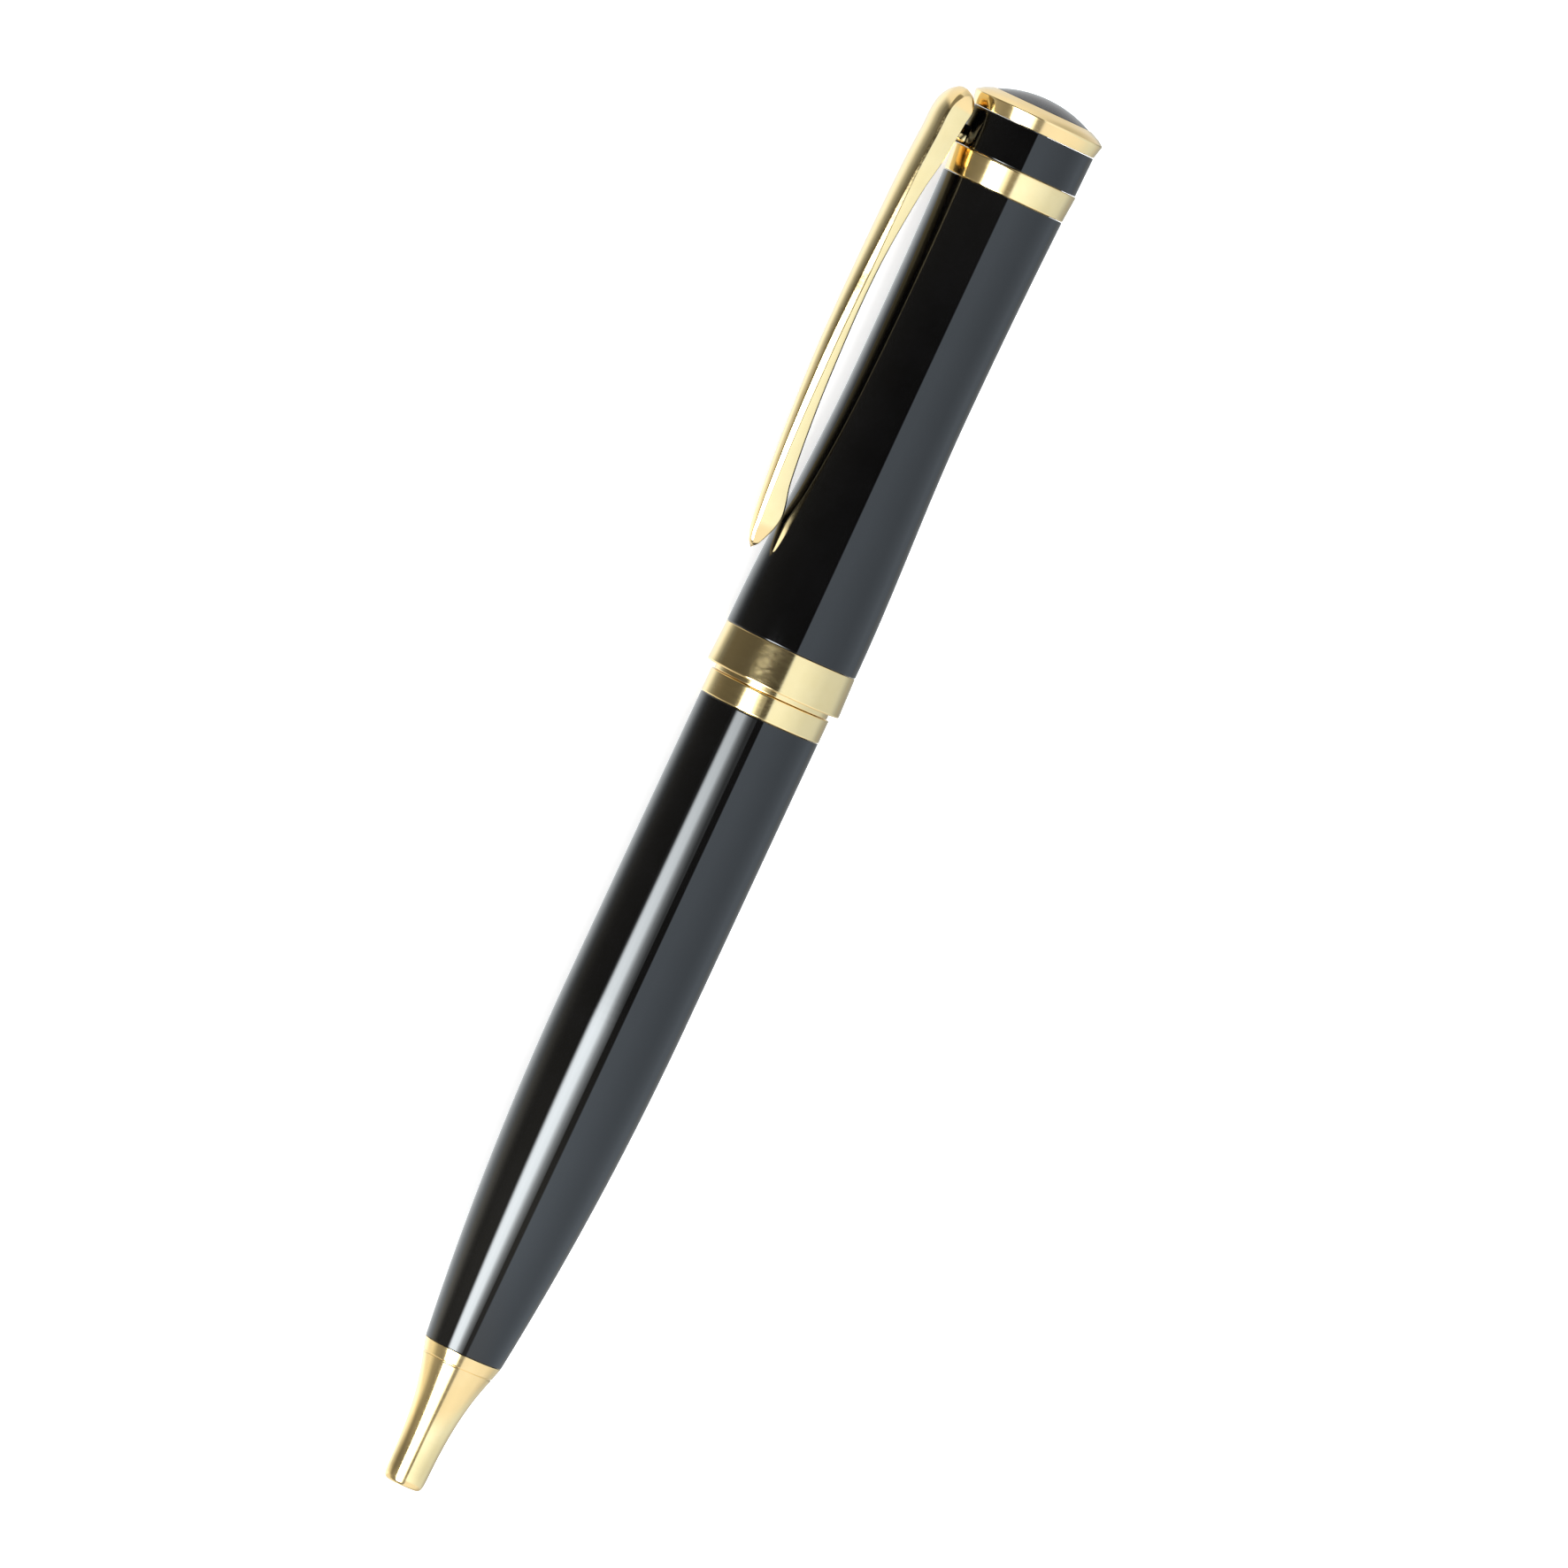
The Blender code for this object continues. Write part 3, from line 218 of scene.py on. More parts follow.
def gold_plate():
    """Polished gold plating: faint turning marks round the axis and a few soft smudges."""
    material, tree, shader = new_material("gold_plate")
    smudge = noise(tree, 2.6)
    lines = noise(tree, 0.09, (1.0, 9.0, 9.0), 2.0)
    shader.inputs["Metallic"].default_value = 1.0
    colour = tinted(tree, smudge, (0.950, 0.735, 0.370), (0.975, 0.765, 0.405))
    waves = bumped(tree, noise(tree, 6.0), 0.0004)
    surfaced(tree, colour, mapped(tree, lines, 0.10, 0.15), bumped(tree, lines, 0.00004, waves))
    return material


def black_lacquer():
    """Deep black lacquer: a mirror coat with faint polishing swirls and a hint of unevenness."""
    material, tree, shader = new_material("black_lacquer")
    cloud = noise(tree, 5.0)
    swirl = noise(tree, 0.35, (6.0, 1.0, 1.0), 4.0)
    shader.inputs["IOR"].default_value = 1.62
    colour = tinted(tree, cloud, (0.0006, 0.0006, 0.0008), (0.0014, 0.0014, 0.0017))
    waves = bumped(tree, noise(tree, 4.5, (2.0, 1.0, 1.0), 1.0), 0.0005)
    surfaced(tree, colour, mapped(tree, swirl, 0.022, 0.045), waves)
    return material


def onyx():
    """A polished black stone with barely visible banding under the surface."""
    material, tree, shader = new_material("onyx")
    band = noise(tree, 1.4, (1.0, 0.4, 2.5), 5.0)
    shader.inputs["IOR"].default_value = 1.55
    colour = tinted(tree, band, (0.003, 0.003, 0.004), (0.010, 0.011, 0.014))
    surfaced(tree, colour, mapped(tree, noise(tree, 0.3), 0.015, 0.04))
    return material


def brass():
    """Turned brass: fine tool rings round the axis and darker, duller patches."""
    material, tree, shader = new_material("brass")
    patch = noise(tree, 1.8, detail=5.0)
    rings = noise(tree, 0.06, (1.0, 30.0, 30.0), 2.0)
    shader.inputs["Metallic"].default_value = 1.0
    colour = tinted(tree, patch, (0.56, 0.39, 0.17), (0.76, 0.57, 0.28))
    surfaced(tree, colour, mapped(tree, rings, 0.20, 0.38), bumped(tree, rings, 0.0012))
    return material


def steel():
    """Ground stainless steel: fine streaks and slight unevenness in tone."""
    material, tree, shader = new_material("steel")
    patch = noise(tree, 1.2)
    streak = noise(tree, 0.05, (1.0, 20.0, 20.0), 2.0)
    shader.inputs["Metallic"].default_value = 1.0
    colour = tinted(tree, patch, (0.50, 0.50, 0.50), (0.62, 0.63, 0.64))
    surfaced(tree, colour, mapped(tree, streak, 0.13, 0.26), bumped(tree, streak, 0.0006))
    return material


def moulded(name, dark, light, gloss, grain_mm, depth_mm, stretch=(1.0, 1.0, 1.0)):
    """A moulded plastic, fibre or rubber: mottled colour, uneven gloss and a fine grain."""
    material, tree, _ = new_material(name)
    grain = noise(tree, grain_mm, stretch, 3.0)
    colour = tinted(tree, noise(tree, 8.0 * grain_mm, stretch), dark, light)
    surfaced(tree, colour, mapped(tree, grain, gloss, gloss + 0.12), bumped(tree, grain, depth_mm))
    return material


MATERIALS = {
    "gold_plate": gold_plate(),
    "black_lacquer": black_lacquer(),
    "onyx": onyx(),
    "brass": brass(),
    "steel": steel(),
}
# Darkest and lightest colour, least roughness, size and depth of the grain, and how it is drawn out
MOULDED = {
    "refill_plastic": ((0.27, 0.29, 0.32), (0.33, 0.34, 0.36), 0.22, 0.4, 0.002, (4.0, 1.0, 1.0)),
    "acetal": ((0.34, 0.32, 0.27), (0.39, 0.37, 0.32), 0.38, 0.12, 0.004),
    "black_plastic": ((0.018, 0.018, 0.020), (0.030, 0.030, 0.034), 0.34, 0.08, 0.005),
    "ink_fibre": ((0.010, 0.016, 0.085), (0.028, 0.045, 0.190), 0.72, 0.05, 0.02, (30.0, 1.0, 1.0)),
    "rubber": ((0.012, 0.012, 0.012), (0.024, 0.024, 0.023), 0.58, 0.05, 0.004),
}
MATERIALS.update({name: moulded(name, *looks) for name, looks in MOULDED.items()})


# ---------------------------------------------------------------- building pieces

def linked(name, data):
    thing = bpy.data.objects.new(name, data)
    bpy.context.scene.collection.objects.link(thing)
    return thing


def mesh_of(name, bm):
    mesh = bpy.data.meshes.new(name)
    bm.to_mesh(mesh)
    bm.free()
    return mesh


def smoothed(mesh, sharp_deg=SHARP_DEG):
    mesh.shade_smooth()
    mesh.set_sharp_from_angle(angle=math.radians(sharp_deg))


def as_piece(node, bm, sharp_deg=SHARP_DEG):
    """Makes a bmesh, in pen millimetres, the piece that stands for a CAD node."""
    bmesh.ops.recalc_face_normals(bm, faces=bm.faces)
    bm.transform(PEN_MM)
    name = f"{node}_look"
    mesh = mesh_of(name, bm)
    smoothed(mesh, sharp_deg)
    mesh.materials.append(MATERIALS[FINISH[node]])
    return linked(name, mesh)


def settle(piece, node):
    """Puts a finished piece on its body in place of its CAD node."""
    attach(piece, BODY_OF[node])
    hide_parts(node)
    return piece


def eased(corner, before, after, steps=4):
    """The points of one rounded corner; its third number is the rounding in millimetres."""
    here = Vector(corner[:2])
    size = corner[2] if len(corner) > 2 else 0.0
    back, on = Vector(before[:2]) - here, Vector(after[:2]) - here
    reach = min(size, 0.45 * back.length, 0.45 * on.length)
    if reach < 1e-4:
        return [here]
    start, end = here + back.normalized() * reach, here + on.normalized() * reach
    points = []
    for i in range(steps + 1):
        t = i / steps
        points.append(start * (1 - t) ** 2 + here * (2 * t * (1 - t)) + end * t**2)
    return points


def rounded(outline, closed):
    """Rounds an outline's corners and adds a loop just inside both ends of each long face."""
    count = len(outline)
    points = []
    for i, corner in enumerate(outline):
        if not closed and i in (0, count - 1):
            points.append(Vector(corner[:2]))
        else:
            points += eased(corner, outline[i - 1], outline[(i + 1) % count])
    dense = []
    for i, here in enumerate(points):
        dense.append(here)
        if not closed and i == len(points) - 1:
            break
        there = points[(i + 1) % len(points)]
        if (there - here).length > 4.0 * GUARD:
            step = (there - here).normalized() * GUARD
            dense += [here + step, there - step]
    return dense


def loft(bm, rings, closed=False):
    """Joins rings of vertices with faces; a ring of one vertex is a point. Open ends are capped."""
    pairs = list(zip(rings, rings[1:]))
    if closed:
        pairs.append((rings[-1], rings[0]))
    for low, high in pairs:
        count = max(len(low), len(high))
        for i in range(count):
            j = (i + 1) % count
            corners = [low[i % len(low)], low[j % len(low)], high[j % len(high)], high[i % len(high)]]
            bm.faces.new(list(dict.fromkeys(corners)))
    if closed:
        return
    for end in (rings[0], rings[-1]):
        if len(end) > 2:
            bm.faces.new(end)


def about(radius, turn, height):
    return radius * math.cos(turn), radius * math.sin(turn), height


def lathe(outline, sides=SIDES, shape=None):
    """Turns (radius, height, rounding) corners about the axis: a closed loop, or a line from the
    axis to the axis. shape(radius, height, angle) may change the radius, as for a thread."""
    hollow = outline[0][0] > 1e-6
    bm = bmesh.new()
    rings = []
    for radius, height in rounded(outline, hollow):
        if radius < 1e-6:
            rings.append([bm.verts.new((0.0, 0.0, height))])
            continue
        ring = []
        for i in range(sides):
            turn = 2.0 * math.pi * i / sides
            r = shape(radius, height, turn) if shape else radius
            ring.append(bm.verts.new(about(r, turn, height)))
        rings.append(ring)
    loft(bm, rings, closed=hollow)
    return bm


def turned(node, outline, sides=SIDES, shape=None):
    return settle(as_piece(node, lathe(outline, sides, shape)), node)


def rod_into(bm, radius, start, end, sides=32):
    start, end = Vector(start), Vector(end)
    along = end - start
    place = Matrix.Translation((start + end) / 2.0) @ along.to_track_quat("Z", "Y").to_matrix().to_4x4()
    bmesh.ops.create_cone(
        bm, cap_ends=True, segments=sides, radius1=radius, radius2=radius, depth=along.length, matrix=place
    )


def box_into(bm, low, high):
    size, centre = Vector(high) - Vector(low), (Vector(high) + Vector(low)) / 2.0
    bmesh.ops.create_cube(bm, size=1.0, matrix=Matrix.Translation(centre) @ Matrix.Diagonal((*size, 1.0)))


def change(piece, bm, operation):
    """Cuts a bmesh, in pen millimetres, out of a piece's mesh, or joins the two."""
    bmesh.ops.recalc_face_normals(bm, faces=bm.faces)
    bm.transform(PEN_MM)
    mesh = mesh_of("cutter", bm)
    tool = linked("cutter", mesh)
    step = piece.modifiers.new("cut", "BOOLEAN")
    step.operation, step.solver, step.object = operation, "EXACT", tool
    bpy.context.view_layer.update()
    result = bpy.data.meshes.new_from_object(piece.evaluated_get(bpy.context.evaluated_depsgraph_get()))
    piece.modifiers.clear()
    piece.data = result
    smoothed(result)
    bpy.data.objects.remove(tool, do_unlink=True)
    bpy.data.meshes.remove(mesh)


def cut(piece, bm):
    change(piece, bm, "DIFFERENCE")


def spaced(low, high, count):
    return [low + (high - low) * i / (count - 1) for i in range(count)]


def along_curve(points, x):
    """Reads a smooth curve through (x, y) points, with Catmull-Rom slopes."""
    last = len(points) - 2
    k = 0
    while k < last and x > points[k + 1][0]:
        k += 1
    before, after = points[max(k - 1, 0)], points[min(k + 2, last + 1)]
    here, there = points[k], points[k + 1]
    width = there[0] - here[0]
    t = (x - here[0]) / width
    slope_here = (there[1] - before[1]) / (there[0] - before[0]) * width
    slope_there = (after[1] - here[1]) / (after[0] - here[0]) * width
    return (
        here[1] * (2 * t**3 - 3 * t**2 + 1)
        + slope_here * (t**3 - 2 * t**2 + t)
        + there[1] * (3 * t**2 - 2 * t**3)
        + slope_there * (t**3 - t**2)
    )


# ---------------------------------------------------------------- outer pieces

NOSE_TOP_R = radius_at("lower_barrel", span("lower_barrel")[0])
NOSE_SPIGOT_LENGTH, NOSE_SPIGOT_R = 7.0, 3.3
NOSE_ROOT = span("nose_cone")[1] - NOSE_SPIGOT_LENGTH
NOSE_END_R = 1.92
NOSE_CREASE_R = 3.36
NOSE_CREASE = NOSE_ROOT - 1.25
NOSE_LIP = 1.1  # height of the nearly straight end
NOSE_CHAMBER_R, NOSE_NECK_R, NOSE_MOUTH_R = 2.45, 1.75, 1.25  # bores for spring, refill and its tip
NOSE_NECK_LENGTH = 1.8
SPRING_SEAT = NOSE_ROOT - 2.4


def nose_cone():
    outline = [(NOSE_MOUTH_R + 0.05, 0.01, 0.04), (1.58, 0.0, 0.12), (NOSE_END_R - 0.15, 0.17, 0.12)]
    outline += [(NOSE_END_R - 0.05, 0.50, 0.2), (NOSE_END_R - 0.01, NOSE_LIP, 0.4)]
    for share in spaced(0.08, 1.0, 44):
        swell = 0.10 * share + 0.90 * share**2.6
        height = NOSE_LIP + (NOSE_CREASE - 0.14 - NOSE_LIP) * share
        outline.append((NOSE_END_R + (NOSE_CREASE_R - NOSE_END_R) * swell, height))
    outline += [
        (NOSE_CREASE_R - 0.06, NOSE_CREASE - 0.02, 0.04),
        (NOSE_CREASE_R + 0.06, NOSE_CREASE + 0.09, 0.06),
        (NOSE_TOP_R, NOSE_ROOT, 0.05),
        (NOSE_SPIGOT_R, NOSE_ROOT, 0.02),
        (NOSE_SPIGOT_R, NOSE_ROOT + NOSE_SPIGOT_LENGTH, 0.15),
        (NOSE_CHAMBER_R, NOSE_ROOT + NOSE_SPIGOT_LENGTH, 0.1),
        (NOSE_CHAMBER_R, SPRING_SEAT, 0.05),
        (NOSE_NECK_R, SPRING_SEAT, 0.05),
        (NOSE_NECK_R, SPRING_SEAT - NOSE_NECK_LENGTH, 0.05),
        (NOSE_MOUTH_R, SPRING_SEAT - NOSE_NECK_LENGTH, 0.05),
        (NOSE_MOUTH_R, 0.35, 0.05),
    ]
    turned("nose_cone", outline)


BARREL_ARC_R = 300.0  # of the long curve to the nose
BARREL_NARROW_LENGTH, BARREL_NARROW_R = 16.8, 3.15  # the bore at the nose end


def lower_barrel():
    low, high = span("lower_barrel")
    full_r, tip_r, arc_r = radius_at("lower_barrel", high), NOSE_TOP_R, BARREL_ARC_R
    arc_start = low + math.sqrt(arc_r**2 - (arc_r - full_r + tip_r) ** 2)
    outline = []
    for height in spaced(low, high, 90):
        below = max(arc_start - height, 0.0)
        outline.append((full_r - arc_r + math.sqrt(arc_r**2 - below**2), height))
    insert_low = span("barrel_thread_insert")[0] - SEAT_GAP
    wide = radii("barrel_thread_insert")[1]
    narrow_top, spigot_top = low + BARREL_NARROW_LENGTH, NOSE_ROOT + NOSE_SPIGOT_LENGTH + SEAT_GAP
    outline[0] = (tip_r, low, 0.05)
    outline[-1] = (full_r, high, 0.08)
    outline += [
        (wide + SEAT_GAP, high, 0.05),
        (wide + SEAT_GAP, insert_low, 0.02),
        (wide - 3.0 * SEAT_GAP, insert_low, 0.02),
        (wide - 3.0 * SEAT_GAP, narrow_top, 0.02),
        (BARREL_NARROW_R, narrow_top, 0.02),
        (BARREL_NARROW_R, spigot_top, 0.02),
        (NOSE_SPIGOT_R + SEAT_GAP, spigot_top, 0.02),
        (NOSE_SPIGOT_R + SEAT_GAP, low, 0.02),
    ]
    turned("lower_barrel", outline)


def plain_ring(node, low_r, high_r, edge=0.12):
    """A polished ring with two softly rounded outer edges."""
    low, high = span(node)
    bore = radii(node)[0]
    outline = [
        (bore, low, 0.04),
        (low_r, low, edge),
        (high_r, high, edge),
        (bore, high, 0.04),
    ]
    turned(node, outline)


TRIM_LOW_R = radius_at("upper_barrel", span("upper_barrel")[1])
TRIM_HIGH_R = TRIM_LOW_R + 0.19  # the ring widens towards the finial
BAND_LOW, BAND_SPIGOT_TOP = span("centre_band")
BAND_TOP = span("upper_barrel")[0] - SEAT_GAP
NECK_R = radius_at("mechanism_bush", span("lower_ring")[1] + SEAT_GAP)
CAP_BORE_R = radii("mechanism_sleeve")[1] + SEAT_GAP
BAND_FLOOR, BAND_SPIGOT_WALL = 2.0, 0.6


def centre_band():
    low_r = radii("centre_band")[1]
    top_r = radius_at("centre_band", BAND_TOP)
    shoulder = BAND_LOW + BAND_FLOOR
    outline = [
        (NECK_R + RUNNING_GAP, BAND_LOW, 0.05),
        (low_r, BAND_LOW, 0.16),
        (top_r, BAND_TOP, 0.07),
        (CAP_BORE_R + BAND_SPIGOT_WALL, BAND_TOP, 0.02),
        (CAP_BORE_R + BAND_SPIGOT_WALL, BAND_SPIGOT_TOP, 0.1),
        (CAP_BORE_R, BAND_SPIGOT_TOP, 0.05),
        (CAP_BORE_R, shoulder, 0.02),
        (NECK_R + RUNNING_GAP, shoulder, 0.02),
    ]
    turned("centre_band", outline)


WAIST_R, WAIST_FROM_BAND = 5.60, 25.7


def upper_barrel():
    low, high = span("upper_barrel")
    waist = BAND_TOP + WAIST_FROM_BAND
    low_r, top_r = radius_at("centre_band", BAND_TOP), radius_at("upper_barrel", high)
    outline = []
    for height in spaced(low, high, 80):
        if height < waist:
            share = (height - BAND_TOP) / WAIST_FROM_BAND
            radius = WAIST_R + (low_r - WAIST_R) * (1.0 + math.cos(math.pi * share)) / 2.0
        else:
            share = (height - waist) / (high - waist)
            radius = WAIST_R + (top_r - WAIST_R) * share**2
        outline.append((radius, height))
    outline[0] = (*outline[0], 0.07)
    outline[-1] = (*outline[-1], 0.06)
    bore = radii("top_insert")[1] + SEAT_GAP
    outline += [
        (bore, high, 0.04),
        (bore, BAND_SPIGOT_TOP + SEAT_GAP, 0.02),
        (CAP_BORE_R + BAND_SPIGOT_WALL + SEAT_GAP, BAND_SPIGOT_TOP + SEAT_GAP, 0.02),
        (CAP_BORE_R + BAND_SPIGOT_WALL + SEAT_GAP, low, 0.04),
    ]
    turned("upper_barrel", outline)


CLIP_FOOT_HALF = 1.2
NOTCH_HEIGHT = 1.81  # clears the clip's neck when the clip is open


def finial_collar():
    low, high = span("finial_collar")
    bore = radii("finial_collar")[0]
    outline = [
        (bore, low, 0.04),
        (radius_at("finial_collar", low), low, 0.07),
        (radius_at("finial_collar", high), high, 0.07),
        (bore, high, 0.04),
    ]
    piece = as_piece("finial_collar", lathe(outline))
    half = CLIP_FOOT_HALF + 0.2
    bm = bmesh.new()
    box_into(bm, (bore - 1.0, -half, low - 1.0), (high, half, low + NOTCH_HEIGHT))
    cut(piece, bm)
    settle(piece, "finial_collar")


def finial_bezel():
    low, high = span("finial_bezel")
    wide = radii("finial_bezel")[1]
    rim = radii("finial_cabochon")[1] + SEAT_GAP
    hole_r, well_r, well_floor, stone_floor = 1.5, 2.7, low + 0.6, high - 0.55
    outline = [
        (hole_r, low, 0.04),
        (radius_at("finial_bezel", low), low, 0.06),
        (wide - 0.03, low + 0.52 * (high - low), 0.25),
        (wide, low + 0.60 * (high - low), 0.1),
        (wide - 0.55, low + 0.80 * (high - low), 0.35),
        (rim + 0.16, high, 0.08),
        (rim, high - 0.06, 0.03),
        (rim, stone_floor, 0.02),
        (well_r, stone_floor, 0.02),
        (well_r, well_floor, 0.02),
        (hole_r, well_floor, 0.04),
    ]
    turned("finial_bezel", outline)


def finial_cabochon():
    low, high = span("finial_cabochon")
    wide = radii("finial_cabochon")[1]
    girdle = span("finial_bezel")[1]
    rise = high - girdle
    sphere_r = (wide**2 + rise**2) / (2.0 * rise)
    outline = [(0.0, low), (wide, low, 0.1)]
    for angle in spaced(math.asin(wide / sphere_r), 0.0, 24)[:-1]:
        outline.append((sphere_r * math.sin(angle), high - sphere_r * (1.0 - math.cos(angle))))
    outline[2] = (*outline[2], 0.06)
    outline.append((0.0, high))
    turned("finial_cabochon", outline)


# ---------------------------------------------------------------- the clip

CLIP_TIP, CLIP_TOP = span("clip")
CLIP_REACH = max(p.x for p in local_points("clip")) - SEAT_GAP
PIN = TO_PEN @ Vector(joint("clip_hinge")["pos_m"]) / MM

# Share of the blade's length from the tip, and how far in from CLIP_REACH its two faces lie
BLADE_OUTSIDE = [(0.0, 2.0), (0.035, 1.45), (0.15, 0.8), (0.3, 0.3), (0.48, 0.0), (0.8, 0.17), (0.94, 0.5)]
BLADE_INSIDE = [(0.0, 2.35), (0.04, 3.1), (0.08, 3.5), (0.15, 2.8), (0.3, 2.05), (0.45, 1.65), (0.6, 1.5)]
BLADE_INSIDE += [(0.77, 2.0), (0.84, 2.5), (0.88, 2.75), (0.94, 2.95)]
BLADE_HALF_WIDTH = [(0.0, 0.4), (0.06, 0.9), (0.3, 1.45), (0.6, 2.03), (0.85, 2.44), (0.94, 2.44)]
BLADE_KEYS = [0.012, 0.03, 0.055, 0.08, 0.105, 0.14, 0.18, 0.24]
BLADE_KEYS += [0.32, 0.42, 0.52, 0.62, 0.72, 0.79, 0.85, 0.90]
CLIP_SHARP_DEG = 50.0
CLIP_PIN_R, CLIP_PIN_HALF = 0.4, 2.15
KNUCKLE_HALF = 1.05
CLIP_SWING = 0.206  # how far the clip's leg rises as the clip opens


def blade_keys():
    """The blade's line from its tip to its domed head. Each key is (outer radius, outer height,
    inner radius, inner height, half width)."""
    keys = []
    for share in BLADE_KEYS:
        height = CLIP_TIP + (CLIP_TOP - CLIP_TIP) * share
        outer = CLIP_REACH - along_curve(BLADE_OUTSIDE, share)
        inner = CLIP_REACH - along_curve(BLADE_INSIDE, share)
        keys.append((outer, height, inner, height, along_curve(BLADE_HALF_WIDTH, share)))
    top = CLIP_TOP
    keys += [
        (9.33, top - 2.75, 6.78, top - 2.80, 2.46),
        (9.10, top - 1.60, 6.58, top - 1.95, 2.36),
        (8.68, top - 0.75, 6.56, top - 1.35, 2.12),
        (8.15, top - 0.22, 6.72, top - 0.80, 1.75),
        (7.70, top - 0.02, 7.00, top - 0.42, 1.25),
        (7.45, top - 0.06, 7.20, top - 0.26, 0.75),
    ]
    return keys


def leg_keys():
    """The clip's leg and knuckle, from inside the blade's head to past the hinge pin."""
    top, foot = CLIP_TOP, PIN.z
    return [
        (6.55, top - 1.90, 7.55, top - 2.00, 2.25),
        (6.46, top - 2.40, 7.40, top - 2.70, 2.15),
        (6.36, foot + 1.15, 7.35, foot + 0.05, 1.85),
        (6.18, foot + 0.88, 6.90, foot - 0.42, 1.45),
        (5.85, foot + 0.81, 6.30, foot - 0.52, CLIP_FOOT_HALF),
        (5.40, foot + 0.80, 5.60, foot - 0.53, CLIP_FOOT_HALF),
        (4.60, foot + 0.82, 4.50, foot - 0.56, CLIP_FOOT_HALF),
        (3.70, foot + 1.02, 3.70, foot - 1.02, CLIP_FOOT_HALF),
        (2.75, foot + 0.75, 2.75, foot - 0.75, CLIP_FOOT_HALF),
        (2.38, foot + 0.30, 2.38, foot - 0.30, CLIP_FOOT_HALF),
    ]


def clip_section(half, thick):
    """A section as (across, depth) points: a gently crowned outer face, a bevel down each side of
    it, upright flanks and a flat inner face."""
    size = min(1.0, half / 1.6, thick / 1.5)
    size *= 1.0 - 0.65 * min(max((half - 2.0) / 0.4, 0.0), 1.0)  # the bevels fade out on the broad head
    face = half - 0.40 * size
    crown = min(0.17 * face, 0.2 * thick)
    bevel = crown + min(0.62 * size, 0.4 * thick)
    side = [(half * 0.99, thick, 0.30 * size), (half, bevel, 0.16 * size), (face, crown, 0.14 * size)]
    crest = [(face * u, crown * u * u) for u in (0.75, 0.5, 0.25, 0.0)]
    outline = side + crest + [(-x, y) for x, y in crest[-2::-1]] + [(-x, y, r) for x, y, r in side[::-1]]
    count = len(outline)
    points = []
    for i, corner in enumerate(outline):
        if len(corner) > 2:
            points += eased(corner, outline[i - 1], outline[(i + 1) % count])
        else:
            points.append(Vector(corner))
    return points


def swept(keys, ends):
    """A bar along the keys' line, closed by a point at each end."""
    places = [0.0]
    for a, b in zip(keys, keys[1:]):
        middle_a = Vector((a[0] + a[2], a[1] + a[3])) / 2.0
        middle_b = Vector((b[0] + b[2], b[1] + b[3])) / 2.0
        places.append(places[-1] + (middle_b - middle_a).length)
    curves = [list(zip(places, column)) for column in zip(*keys)]
    bm = bmesh.new()
    rings = [[bm.verts.new((ends[0][0], 0.0, ends[0][1]))]]
    for k in range(len(keys) - 1):
        steps = max(3, round((places[k + 1] - places[k]) / 0.3))
        for i in range(steps + (k == len(keys) - 2)):
            at = places[k] + (places[k + 1] - places[k]) * i / steps
            outer_r, outer_h, inner_r, inner_h, half = (along_curve(c, at) for c in curves)
            outer, inner = Vector((outer_r, outer_h)), Vector((inner_r, inner_h))
            thick = (inner - outer).length
            ring = []
            for across, depth in clip_section(half, thick):
                r, h = outer + (inner - outer) * (depth / thick)
                ring.append(bm.verts.new((r, across, h)))
            rings.append(ring)
    rings.append([bm.verts.new((ends[1][0], 0.0, ends[1][1]))])
    loft(bm, rings)
    return bm


def clip():
    keys = blade_keys()
    tip_r = (keys[0][0] + keys[0][2]) / 2.0
    piece = as_piece("clip", swept(keys, ((tip_r, CLIP_TIP), (7.33, CLIP_TOP - 0.15))), CLIP_SHARP_DEG)
    keys = leg_keys()
    change(piece, swept(keys, ((7.0, keys[0][1] - 0.02), (keys[-1][0] - 0.03, PIN.z))), "UNION")
    bm = bmesh.new()
    rod_into(bm, CLIP_PIN_R + 0.06, (PIN.x, -3.0, PIN.z), (PIN.x, 3.0, PIN.z))
    cut(piece, bm)
    settle(piece, "clip")


def clip_pin():
    r, half = CLIP_PIN_R, CLIP_PIN_HALF
    bm = lathe([(0.0, -half), (r, -half, 0.08), (r, half, 0.08), (0.0, half)], 32)
    turn = Matrix.Rotation(math.radians(90.0), 4, "X")
    bmesh.ops.transform(bm, matrix=Matrix.Translation((PIN.x, 0.0, PIN.z)) @ turn, verts=bm.verts)
    settle(as_piece("clip_pin", bm), "clip_pin")


def clip_spring():
    """A bowed leaf under the clip's knuckle, with rounded corners."""
    low, high = span("clip_spring")
    points = local_points("clip_spring")
    inner, outer = min(p.x for p in points), max(p.x for p in points)
    thick, half = 0.15, 1.0
    middle, reach = (inner + outer) / 2.0, (outer - inner) / 2.0
    bm = bmesh.new()
    rings = []
    for share in spaced(-1.0, 1.0, 33):
        rise = low + (high - thick - low) * (1.0 - share**2)
        width = half - 0.25 * max(abs(share) - 0.85, 0.0) / 0.15
        corners = ((-width, 0.0), (width, 0.0), (width, thick), (-width, thick))
        rings.append([bm.verts.new((middle + reach * share, y, rise + z)) for y, z in corners])
    loft(bm, rings)
    settle(as_piece("clip_spring", bm), "clip_spring")


# ---------------------------------------------------------------- inner pieces

